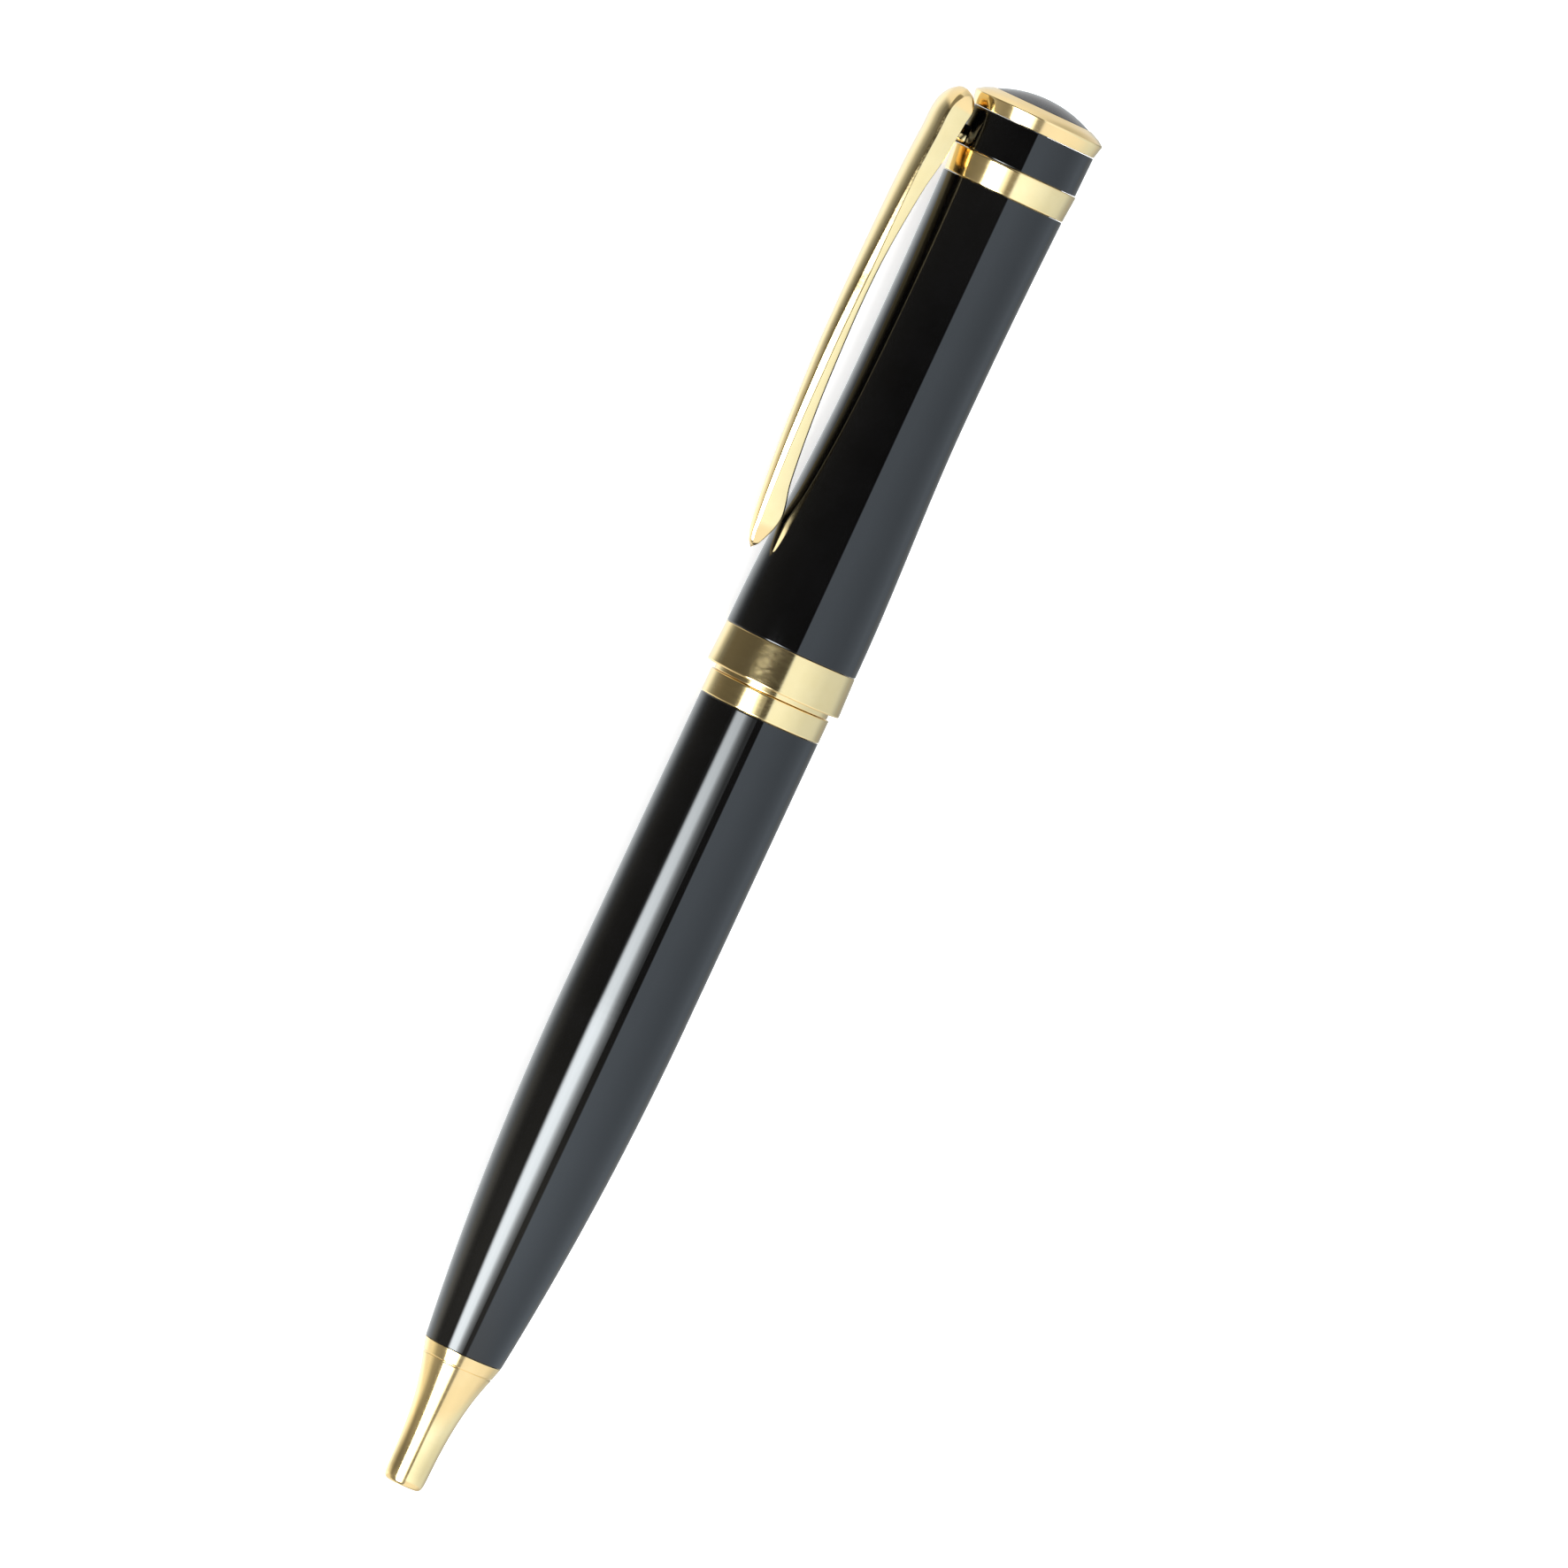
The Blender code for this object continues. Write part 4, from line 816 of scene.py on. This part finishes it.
SPIGOT_LOW = span("mechanism_bush")[0]
SPIGOT_TOP = span("lower_ring")[1] + SEAT_GAP
SPIGOT_R = 3.85
BUSH_TUBE_R, BUSH_BORE_R = 3.75, 3.15
THREAD_DEPTH, INSIDE_THREAD_DEPTH = 0.22, 0.2
THREAD_PITCH = 1.15
THREAD_LOW, THREAD_HIGH = SPIGOT_LOW + 0.9, SPIGOT_LOW + 8.4


def thread_height(height, turn):
    """How full the screw thread stands, from 0 at the root to 1 at the crest."""
    phase = ((height - THREAD_LOW) / THREAD_PITCH - turn / (2.0 * math.pi)) % 1.0
    tooth = min(max(1.5 - 4.0 * abs(phase - 0.5), 0.0), 1.0)
    ends = min((height - THREAD_LOW) / 0.6, (THREAD_HIGH - height) / 0.6, 1.0)
    return tooth * max(ends, 0.0)


def outside_thread(radius, height, turn):
    if SPIGOT_R - THREAD_DEPTH - 0.01 < radius < SPIGOT_R + 0.01 and height < SPIGOT_TOP - 0.3:
        return radius + THREAD_DEPTH * thread_height(height, turn)
    return radius


def inside_thread(radius, height, turn):
    if radius < SPIGOT_R + 0.11 and THREAD_LOW < height < THREAD_HIGH:
        return radius - INSIDE_THREAD_DEPTH * (1.0 - thread_height(height, turn))
    return radius


def barrel_thread_insert():
    low, high = span("barrel_thread_insert")
    bore, wide = radii("barrel_thread_insert")
    outline = [(bore, low, 0.05), (wide, low, 0.1), (wide, high, 0.05), (bore, high, 0.12)]
    outline += [(bore, h) for h in spaced(THREAD_HIGH, THREAD_LOW, 110)]
    turned("barrel_thread_insert", outline, SIDES_INNER, inside_thread)


def mechanism_bush():
    bore, root = BUSH_BORE_R, SPIGOT_R - THREAD_DEPTH
    high = span("mechanism_bush")[1]
    hub_low, hub_top = SPIGOT_TOP + 2.3, SPIGOT_TOP + 6.5
    hub_r, tube_r, groove_r = 4.45, BUSH_TUBE_R, 3.73
    ring_low, ring_high = span("friction_o_ring")
    clip_low, clip_high = span("retaining_ring")
    outline = [(bore, SPIGOT_LOW, 0.1), (root, SPIGOT_LOW, 0.15)]
    outline += [(root, h) for h in spaced(THREAD_LOW - 0.1, THREAD_HIGH + 0.1, 120)]
    outline += [
        (root, SPIGOT_TOP, 0.1),
        (NECK_R, SPIGOT_TOP, 0.08),
        (NECK_R, hub_low, 0.08),
        (hub_r, hub_low, 0.05),
        (hub_r, ring_low - 0.1, 0.05),
        (groove_r, ring_low - 0.1, 0.05),
        (groove_r, ring_high + 0.1, 0.05),
        (hub_r, ring_high + 0.1, 0.05),
        (hub_r, hub_top, 0.1),
        (tube_r, hub_top, 0.05),
        (tube_r, clip_low - SEAT_GAP, 0.03),
        (tube_r - 0.3, clip_low - SEAT_GAP, 0.03),
        (tube_r - 0.3, clip_high + SEAT_GAP, 0.03),
        (tube_r, clip_high + SEAT_GAP, 0.03),
        (tube_r, high, 0.1),
        (bore, high, 0.1),
    ]
    piece = as_piece("mechanism_bush", lathe(outline, SIDES_INNER, outside_thread))
    for start in (0.0, math.pi):
        cut(piece, cam_slot(start))
    settle(piece, "mechanism_bush")


PIN_HEIGHT = sum(span("cross_pin")) / 2.0
PIN_R = (span("cross_pin")[1] - span("cross_pin")[0]) / 2.0
TWIST = math.radians(joint("cap_twist")["range_deg"][1])
STROKE = joint("pusher_slide")["range_m"][1] / MM
# The cross pin lies level, along the table's Y: this is its direction, measured from the clip
SLOT_START = math.atan2(-SIDEWAYS.y, -CLIP_WAY.y)


def cam_slot(start):
    """A helical slot through the bush's tube, along the cross pin's path."""
    half = PIN_R + RUNNING_GAP
    overrun = half / BUSH_TUBE_R
    inner, outer = BUSH_BORE_R - 0.4, BUSH_TUBE_R + 0.4
    bm = bmesh.new()
    rings = []
    for turn in spaced(-overrun, TWIST + overrun, 40):
        angle = start + SLOT_START - turn
        centre = PIN_HEIGHT - STROKE / TWIST * turn
        corners = ((inner, -half), (outer, -half), (outer, half), (inner, half))
        rings.append([bm.verts.new(about(r, angle, centre + z)) for r, z in corners])
    loft(bm, rings)
    return bm


def friction_o_ring():
    low, high = span("friction_o_ring")
    r, centre_h = (high - low) / 2.0, (high + low) / 2.0
    centre_r = radii("friction_o_ring")[1] - r
    outline = []
    for i in range(20):
        turn = 2.0 * math.pi * i / 20
        outline.append((centre_r + r * math.cos(turn), centre_h + r * math.sin(turn)))
    turned("friction_o_ring", outline)


def retaining_ring():
    low, high = span("retaining_ring")
    bore, wide = radii("retaining_ring")
    outline = [(bore, low, 0.08), (wide, low, 0.1), (wide, high, 0.1), (bore, high, 0.08)]
    turned("retaining_ring", outline, SIDES_INNER)


def about_pin(bm):
    """Turns a bmesh drawn along local X to the cross pin's direction."""
    bmesh.ops.transform(bm, matrix=Matrix.Rotation(SLOT_START, 4, "Z"), verts=bm.verts)
    return bm


def mechanism_sleeve():
    low, high = span("mechanism_sleeve")
    bore, wide = radii("mechanism_sleeve")
    shoulder = span("retaining_ring")[0] - RUNNING_GAP
    outline = [
        (bore, low, 0.1),
        (wide, low, 0.1),
        (wide, high, 0.1),
        (bore + 0.4, high, 0.1),
        (bore + 0.4, shoulder, 0.03),
        (bore, shoulder, 0.05),
    ]
    piece = as_piece("mechanism_sleeve", lathe(outline, SIDES_INNER))
    half = PIN_R + RUNNING_GAP
    bm = bmesh.new()
    box_into(bm, (-6.0, -half, PIN_HEIGHT - STROKE - half), (6.0, half, PIN_HEIGHT + half))
    cut(piece, about_pin(bm))
    settle(piece, "mechanism_sleeve")


def pusher():
    low, high = span("pusher")
    r = radii("pusher")[1]
    outline = [(0.0, low), (r - 0.5, low, 0.1), (r, low + 0.5, 0.1), (r, high, 0.2), (0.0, high)]
    piece = as_piece("pusher", lathe(outline, SIDES_INNER))
    bm = bmesh.new()
    rod_into(bm, PIN_R + SEAT_GAP, (-5.0, 0.0, PIN_HEIGHT), (5.0, 0.0, PIN_HEIGHT))
    cut(piece, about_pin(bm))
    settle(piece, "pusher")


def cross_pin():
    half = radii("cross_pin")[1] - 0.02
    bm = lathe([(0.0, -half), (PIN_R, -half, 0.12), (PIN_R, half, 0.12), (0.0, half)], 40)
    lay = Matrix.Translation((0.0, 0.0, PIN_HEIGHT)) @ Matrix.Rotation(math.radians(90.0), 4, "Y")
    bmesh.ops.transform(bm, matrix=lay, verts=bm.verts)
    settle(as_piece("cross_pin", about_pin(bm)), "cross_pin")


def top_insert():
    low, high = span("top_insert")
    wide = radii("top_insert")[1]
    screw_low = span("finial_screw")[0] - 0.1
    outline = [
        (0.0, low),
        (wide, low, 0.15),
        (wide, high, 0.1),
        (1.45, high, 0.1),
        (1.45, screw_low, 0.05),
        (0.0, screw_low),
    ]
    piece = as_piece("top_insert", lathe(outline, SIDES_INNER))
    slot_low = span("clip_spring")[0] - 0.04
    slot_high = PIN.z + KNUCKLE_HALF + CLIP_SWING + RUNNING_GAP
    slot_in, half = 2.1, CLIP_FOOT_HALF + RUNNING_GAP
    bm = bmesh.new()
    box_into(bm, (slot_in, -half, slot_low), (6.0, half, slot_high))
    cut(piece, bm)
    bm = bmesh.new()
    rod_into(bm, CLIP_PIN_R + SEAT_GAP, (PIN.x, -6.0, PIN.z), (PIN.x, 6.0, PIN.z))
    cut(piece, bm)
    settle(piece, "top_insert")


def finial_screw():
    low, high = span("finial_screw")
    head_r, shank_r, head_low = radii("finial_screw")[1], 1.4, high - 0.75
    outline = [
        (0.0, low),
        (shank_r, low, 0.25),
        (shank_r, head_low, 0.05),
        (head_r, head_low, 0.05),
        (head_r, high, 0.2),
        (0.0, high),
    ]
    piece = as_piece("finial_screw", lathe(outline, SIDES_INNER))
    slot_half, slot_depth = 0.25, 0.35
    bm = bmesh.new()
    box_into(bm, (-4.0, -slot_half, high - slot_depth), (4.0, slot_half, high + 1.0))
    cut(piece, bm)
    settle(piece, "finial_screw")


# ---------------------------------------------------------------- the refill and its spring

REFILL_LOW = span("refill_ball")[0]
REFILL_STEP = span("refill_tube")[0] - 2.0 * SEAT_GAP
REFILL_R = radii("refill_tube")[1]
REFILL_BORE = radii("refill_tube")[0]


def refill_tip():
    ball_r = 0.35
    shank_r, neck_r, bore_r = 1.15, 1.55, 0.6
    socket = ball_r + 0.03
    shank_low, shank_top = REFILL_LOW + 2.6, SPRING_SEAT - NOSE_NECK_LENGTH + STROKE + 0.2
    top = span("refill_tip")[1]
    spigot_r = REFILL_BORE - SEAT_GAP
    outline = [
        (socket - 0.02, REFILL_LOW + 0.55 * ball_r),
        (socket + 0.06, REFILL_LOW + 0.55 * ball_r, 0.03),
        (shank_r - 0.25, shank_low - 0.5, 0.2),
        (shank_r, shank_low, 0.15),
        (shank_r, shank_top, 0.05),
        (neck_r, shank_top + 0.3, 0.1),
        (neck_r, REFILL_STEP, 0.05),
        (spigot_r, REFILL_STEP + SEAT_GAP, 0.05),
        (spigot_r, top, 0.1),
        (bore_r, top, 0.05),
        (bore_r, shank_low + 0.5, 0.02),
        (0.15, shank_low + 0.5),
        (0.15, REFILL_LOW + 2.0 * ball_r + 0.03),
        (socket, REFILL_LOW + 2.0 * ball_r + 0.03),
        (socket, REFILL_LOW + ball_r),
    ]
    turned("refill_tip", outline, SIDES_INNER)


def refill_ball():
    low, high = span("refill_ball")
    r, centre = (high - low) / 2.0, (high + low) / 2.0
    angles = spaced(-math.pi / 2.0, math.pi / 2.0, 25)
    turned("refill_ball", [(max(r * math.cos(a), 0.0), centre + r * math.sin(a)) for a in angles], 48)


def refill_tube():
    low, high = span("refill_tube")
    outline = [
        (REFILL_BORE, low, 0.03),
        (REFILL_R, low, 0.12),
        (REFILL_R, high, 0.05),
        (REFILL_BORE, high, 0.03),
    ]
    turned("refill_tube", outline, 96)


def ink_reservoir():
    low, high = span("ink_reservoir")
    r = radii("ink_reservoir")[1]
    turned("ink_reservoir", [(0.0, low), (r, low, 0.2), (r, high, 0.2), (0.0, high)], 48)


def refill_plug():
    low, high = span("refill_plug")
    shoulder = span("refill_tube")[1] + SEAT_GAP
    r_in = REFILL_BORE - SEAT_GAP
    outline = [
        (0.0, low),
        (r_in, low, 0.15),
        (r_in, shoulder, 0.05),
        (REFILL_R, shoulder, 0.06),
        (REFILL_R, shoulder + 0.7, 0.03),
        (REFILL_R - 0.12, shoulder + 0.78, 0.03),
        (REFILL_R - 0.12, shoulder + 0.98, 0.03),
        (REFILL_R, shoulder + 1.06, 0.03),
        (REFILL_R, high, 0.2),
        (1.1, high, 0.1),
        (0.9, high - 0.5, 0.1),
        (0.0, high - 0.5),
    ]
    turned("refill_plug", outline, 96)


def return_spring():
    """A compression spring with closed ends, built at rest; the real one shortens as the point comes out."""
    wire, coil_r, turns, per_turn, around = 0.18, 1.98, 9.0, 36, 10
    low, high = SPRING_SEAT + wire + SEAT_GAP, REFILL_STEP - wire - SEAT_GAP
    steps = int(turns * per_turn)
    closed_turns = 0.8
    bm = bmesh.new()
    rings = []
    for i in range(steps + 1):
        made = i / per_turn
        open_share = (made - closed_turns) / (turns - 2.0 * closed_turns)
        height = low + (high - low) * min(max(open_share, 0.0), 1.0)
        angle = 2.0 * math.pi * made
        ring = []
        for j in range(around):
            turn = 2.0 * math.pi * j / around
            r, rise = coil_r + wire * math.cos(turn), wire * math.sin(turn)
            ring.append(bm.verts.new(about(r, angle, height + rise)))
        rings.append(ring)
    loft(bm, rings)
    piece = settle(as_piece("return_spring", bm, 60.0), "return_spring")
    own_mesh(piece)


# ---------------------------------------------------------------- studio

CLIP_TO_VIEW_DEG = 72.0  # from the clip to the camera, about the pen's axis
VIEW_DEG = CLIP_TO_VIEW_DEG - math.degrees(math.asin(-CLIP_WAY.z))  # camera's height above the table
CAMERA_AWAY = 1.6
AIM_HEIGHT = 72.0  # aim point along the pen and its offset to the clip's side
AIM_ASIDE = 4.55
TOWARDS_CAP = 66.0  # how far the camera stands towards the cap
PICTURE_WIDTH = 141.41  # at the aim point
ROLL_DEG = 25.0155  # how far the pen leans from upright in the picture
SENSOR = 36.0


def add_camera():
    tilt = math.radians(VIEW_DEG)
    back = Vector((0.0, -math.cos(tilt), math.sin(tilt)))
    aside = Vector((0.0, -math.sin(tilt), -math.cos(tilt)))
    aim = PEN @ Vector((0.0, 0.0, AIM_HEIGHT * MM)) - aside * AIM_ASIDE * MM
    lean = math.asin(TOWARDS_CAP * MM / CAMERA_AWAY)
    eye = aim + (back * math.cos(lean) + ALONG * math.sin(lean)) * CAMERA_AWAY
    to_camera = (eye - aim).normalized()
    pen_up = (ALONG - to_camera * ALONG.dot(to_camera)).normalized()
    roll = math.radians(ROLL_DEG)
    right = pen_up * math.sin(roll) - aside * math.cos(roll)
    up = pen_up * math.cos(roll) + aside * math.sin(roll)
    data = bpy.data.cameras.new("camera")
    data.sensor_width = SENSOR
    data.lens = SENSOR * CAMERA_AWAY / (PICTURE_WIDTH * MM)
    data.clip_start, data.clip_end = 0.05, 20.0
    camera = linked("camera", data)
    place = Matrix((right, up, to_camera)).transposed().to_4x4()
    camera.matrix_world = Matrix.Translation(eye) @ place
    bpy.context.scene.camera = camera


def glow(name, colour, strength):
    material = bpy.data.materials.new(name)
    material.use_nodes = True
    tree = material.node_tree
    tree.nodes.remove(tree.nodes["Principled BSDF"])
    light = add(tree, "ShaderNodeEmission")
    light.inputs["Color"].default_value = (*colour, 1.0)
    light.inputs["Strength"].default_value = strength
    tree.links.new(light.outputs[0], tree.nodes["Material Output"].inputs["Surface"])
    return material


FLOOR_R, BACKDROP_R = 3.5, 3.6
FLOOR_GLOW = 0.55  # lit from below, as on a light table


def staged(name, bm, material):
    """A floor or backdrop, in metres, that the pen's polish doesn't reflect."""
    mesh = mesh_of(name, bm)
    mesh.materials.append(material)
    thing = linked(name, mesh)
    thing.visible_glossy = False
    return thing


def floor_material():
    material, tree, shader = new_material("floor")
    colour = tinted(tree, noise(tree, 60.0), (0.90, 0.90, 0.90), (0.92, 0.92, 0.92))
    tree.links.new(colour, shader.inputs["Base Color"])
    shader.inputs["Roughness"].default_value = 0.9
    shader.inputs["Specular IOR Level"].default_value = 0.0
    shader.inputs["Emission Color"].default_value = (1.0, 1.0, 1.0, 1.0)
    shader.inputs["Emission Strength"].default_value = FLOOR_GLOW
    return material


def add_floor():
    bm = bmesh.new()
    bmesh.ops.create_circle(bm, cap_ends=True, segments=96, radius=FLOOR_R)
    floor = staged("floor", bm, floor_material())
    bm = bmesh.new()
    bmesh.ops.create_uvsphere(bm, u_segments=48, v_segments=24, radius=BACKDROP_R)
    backdrop = staged("backdrop", bm, glow("backdrop", (0.97, 0.97, 0.97), 1.0))
    backdrop.visible_diffuse = backdrop.visible_shadow = backdrop.visible_transmission = False


# Brightness of the studio by direction about the pen's axis: degrees above the table on the
# camera's side, through the zenith at 90, to the far side at 180. TENT is seen square on to the
# pen, TENT_NOSE by surfaces leaning towards the nose, and TENT_ENDS nearly along the pen
TENT = [
    (-180.0, 0.45), (-160.0, 0.35), (-130.0, 0.90), (-112.0, 1.15), (-98.0, 1.2), (-90.0, 0.95),
    (-82.0, 0.50), (-72.0, 0.20), (-60.0, 0.12), (-42.0, 0.11), (-10.0, 0.08), (20.0, 0.055),
    (53.6, 0.05), (54.6, 1.15), (75.0, 1.12), (100.0, 0.96), (125.0, 0.80), (145.0, 0.78),
    (162.0, 0.75), (180.0, 0.45),
]
TENT_NOSE = [
    (-180.0, 0.75), (-160.0, 0.60), (-130.0, 1.15), (-95.0, 1.6), (-80.0, 1.45), (-66.0, 1.05),
    (-58.0, 0.75), (-48.0, 0.35), (-40.0, 0.24), (-20.0, 0.30), (40.0, 0.36), (53.0, 0.36),
    (55.0, 1.50), (75.0, 1.38), (100.0, 1.18), (125.0, 1.0), (160.0, 0.90), (180.0, 0.75),
]
TENT_ENDS = [
    (-180.0, 0.5), (-150.0, 0.8), (-100.0, 1.0), (-60.0, 0.9), (-40.0, 0.35), (-20.0, 0.24),
    (20.0, 0.24), (54.0, 0.30), (57.0, 1.0), (90.0, 1.05), (140.0, 0.95), (165.0, 0.7), (180.0, 0.5),
]
TENT_PEAK = 2.5
OVERHEAD_DEG, UNDERFOOT_DEG = 53.8, -70.0
COOL, PALE, WARM, PLAIN = (0.88, 1.0, 1.12), (0.95, 1.0, 1.02), (1.05, 1.0, 0.86), (1.0, 1.0, 1.0)


def direction_ramp(tree, angle, stops, low_tint, high_tint):
    """The stops as light: low_tint for those underfoot, high_tint overhead and WARM between."""
    colours = []
    for degrees, level in stops:
        tint = high_tint if degrees > OVERHEAD_DEG else low_tint if degrees < UNDERFOOT_DEG else WARM
        colours.append(((degrees + 180.0) / 360.0, [level / TENT_PEAK * t for t in tint]))
    return ramped(tree, angle, colours)


def mixed(tree, share, first, second):
    mix = add(tree, "ShaderNodeMix", data_type="RGBA")
    tree.links.new(share, mix.inputs["Factor"])
    tree.links.new(first, mix.inputs["A"])
    tree.links.new(second, mix.inputs["B"])
    return mix.outputs["Result"]


def worked(tree, operation, *values):
    """The result of a Math node, whose values are numbers or other nodes' results."""
    node = add(tree, "ShaderNodeMath", operation=operation)
    for slot, value in zip(node.inputs, values):
        if isinstance(value, float):
            slot.default_value = value
        else:
            tree.links.new(value, slot)
    return node.outputs[0]


def add_tent():
    world = bpy.data.worlds.new("tent")
    bpy.context.scene.world = world
    world.use_nodes = True
    tree = world.node_tree
    place = add(tree, "ShaderNodeTexCoord")
    split = add(tree, "ShaderNodeSeparateXYZ")
    tree.links.new(place.outputs["Generated"], split.inputs[0])
    front = worked(tree, "MULTIPLY", split.outputs["Y"], -1.0)
    angle = worked(tree, "ARCTAN2", split.outputs["Z"], front)
    share = mapped(tree, angle, 0.0, 1.0, -math.pi, math.pi)
    aside = worked(tree, "ABSOLUTE", split.outputs["X"])
    square_on = direction_ramp(tree, share, TENT, PALE, COOL)
    to_nose = direction_ramp(tree, share, TENT_NOSE, PALE, COOL)
    tent = mixed(tree, mapped(tree, split.outputs["X"], 0.0, 1.0, 0.03, 0.21), square_on, to_nose)
    end_on = direction_ramp(tree, share, TENT_ENDS, PLAIN, PLAIN)
    tent = mixed(tree, mapped(tree, aside, 0.0, 1.0, 0.24, 0.36), tent, end_on)
    sky = tree.nodes["Background"]
    tree.links.new(tent, sky.inputs["Color"])
    sky.inputs["Strength"].default_value = TENT_PEAK


SOFTBOX_AWAY = 0.7
SOFTBOX_LOW_DEG, SOFTBOX_HIGH_DEG = -6.0, 42.0
SOFTBOX_PEAK = 15.0
# Its brightness from the low edge (0) to the high edge (1)
SOFTBOX_RISE = [
    (0.0, 0.01), (0.05, 0.08), (0.10, 0.40), (0.19, 0.92), (0.333, 1.0),
    (0.54, 0.92), (0.646, 0.52), (0.75, 0.25), (0.875, 0.12), (1.0, 0.04),
]
SOFTBOX_START_X, SOFTBOX_END_X = 0.014, 0.75
SOFTBOX_WIDTH = SOFTBOX_END_X - SOFTBOX_START_X
# Over this length at its cap end the bright part dims, and narrows about this share of its height
SOFTBOX_TAPER, SOFTBOX_MIDDLE = 0.065, 0.36


def area_light(name, size_x, size_y, watts, place):
    data = bpy.data.lights.new(name, "AREA")
    data.shape = "RECTANGLE"
    data.size, data.size_y = size_x, size_y
    data.energy = watts
    light = linked(name, data)
    light.matrix_world = place
    light.visible_camera = False
    return light


def softbox_light(tree):
    """Gives the softbox its gradients, by place on its surface."""
    surface = add(tree, "ShaderNodeNewGeometry")
    split = add(tree, "ShaderNodeSeparateXYZ")
    tree.links.new(surface.outputs["Parametric"], split.inputs[0])
    along, taper = split.outputs["X"], SOFTBOX_TAPER / SOFTBOX_WIDTH
    centred = worked(tree, "SUBTRACT", split.outputs["Y"], SOFTBOX_MIDDLE)
    squeeze = mapped(tree, along, 1.35, 1.0, 0.0, taper)
    squeezed = worked(tree, "MULTIPLY_ADD", centred, squeeze, SOFTBOX_MIDDLE)
    colour = ramped(tree, squeezed, [(at, (level * 0.94, level, level * 1.03)) for at, level in SOFTBOX_RISE])
    emission = tree.nodes["Emission"]
    tree.links.new(colour, emission.inputs["Color"])
    tree.links.new(mapped(tree, along, 0.5, 1.0, 0.0, taper), emission.inputs["Strength"])


def add_softbox():
    """The softbox in front of the lower half: bright low down and fading upwards."""
    middle = math.radians((SOFTBOX_LOW_DEG + SOFTBOX_HIGH_DEG) / 2.0)
    half = math.radians((SOFTBOX_HIGH_DEG - SOFTBOX_LOW_DEG) / 2.0)
    back = Vector((0.0, -math.cos(middle), math.sin(middle)))
    centre = AXIS + back * SOFTBOX_AWAY
    centre.x = (SOFTBOX_START_X + SOFTBOX_END_X) / 2.0
    up = Vector((0.0, math.sin(middle), math.cos(middle)))
    turn = Matrix((Vector((1.0, 0.0, 0.0)), up, back)).transposed().to_4x4()
    height = 2.0 * SOFTBOX_AWAY * math.tan(half)
    watts = SOFTBOX_PEAK * math.pi * SOFTBOX_WIDTH * height  # gives the light that radiance
    light = area_light("softbox", SOFTBOX_WIDTH, height, watts, Matrix.Translation(centre) @ turn)
    light.visible_diffuse = False
    light.data.use_nodes = True
    softbox_light(light.data.node_tree)


PANEL_SIDE, PANEL_AWAY = 2.2, 1.5
PANELS = ((0.0, 22.0), (52.0, 26.0))  # degrees from overhead towards the camera's side, and watts


def add_overhead():
    """Two wide panels that light the table softly and aren't seen in the polish."""
    for tilt_deg, watts in PANELS:
        place = Matrix.Rotation(math.radians(tilt_deg), 4, "X") @ Matrix.Translation((0.0, 0.0, PANEL_AWAY))
        light = area_light("overhead", PANEL_SIDE, PANEL_SIDE, watts, place)
        light.visible_glossy = False
        light.data.use_shadow = False


def build_pen():
    nose_cone()
    lower_barrel()
    plain_ring("lower_ring", radii("lower_ring")[1], radii("lower_ring")[1])
    centre_band()
    upper_barrel()
    plain_ring("top_trim_ring", TRIM_LOW_R, TRIM_HIGH_R)
    finial_collar()
    finial_bezel()
    finial_cabochon()
    clip()
    clip_pin()
    clip_spring()
    barrel_thread_insert()
    mechanism_bush()
    friction_o_ring()
    retaining_ring()
    mechanism_sleeve()
    pusher()
    cross_pin()
    top_insert()
    finial_screw()
    refill_tip()
    refill_ball()
    refill_tube()
    ink_reservoir()
    refill_plug()
    return_spring()


add_camera()
add_floor()
add_tent()
add_softbox()
add_overhead()
build_pen()
bpy.context.scene.view_settings.view_transform = "Standard"
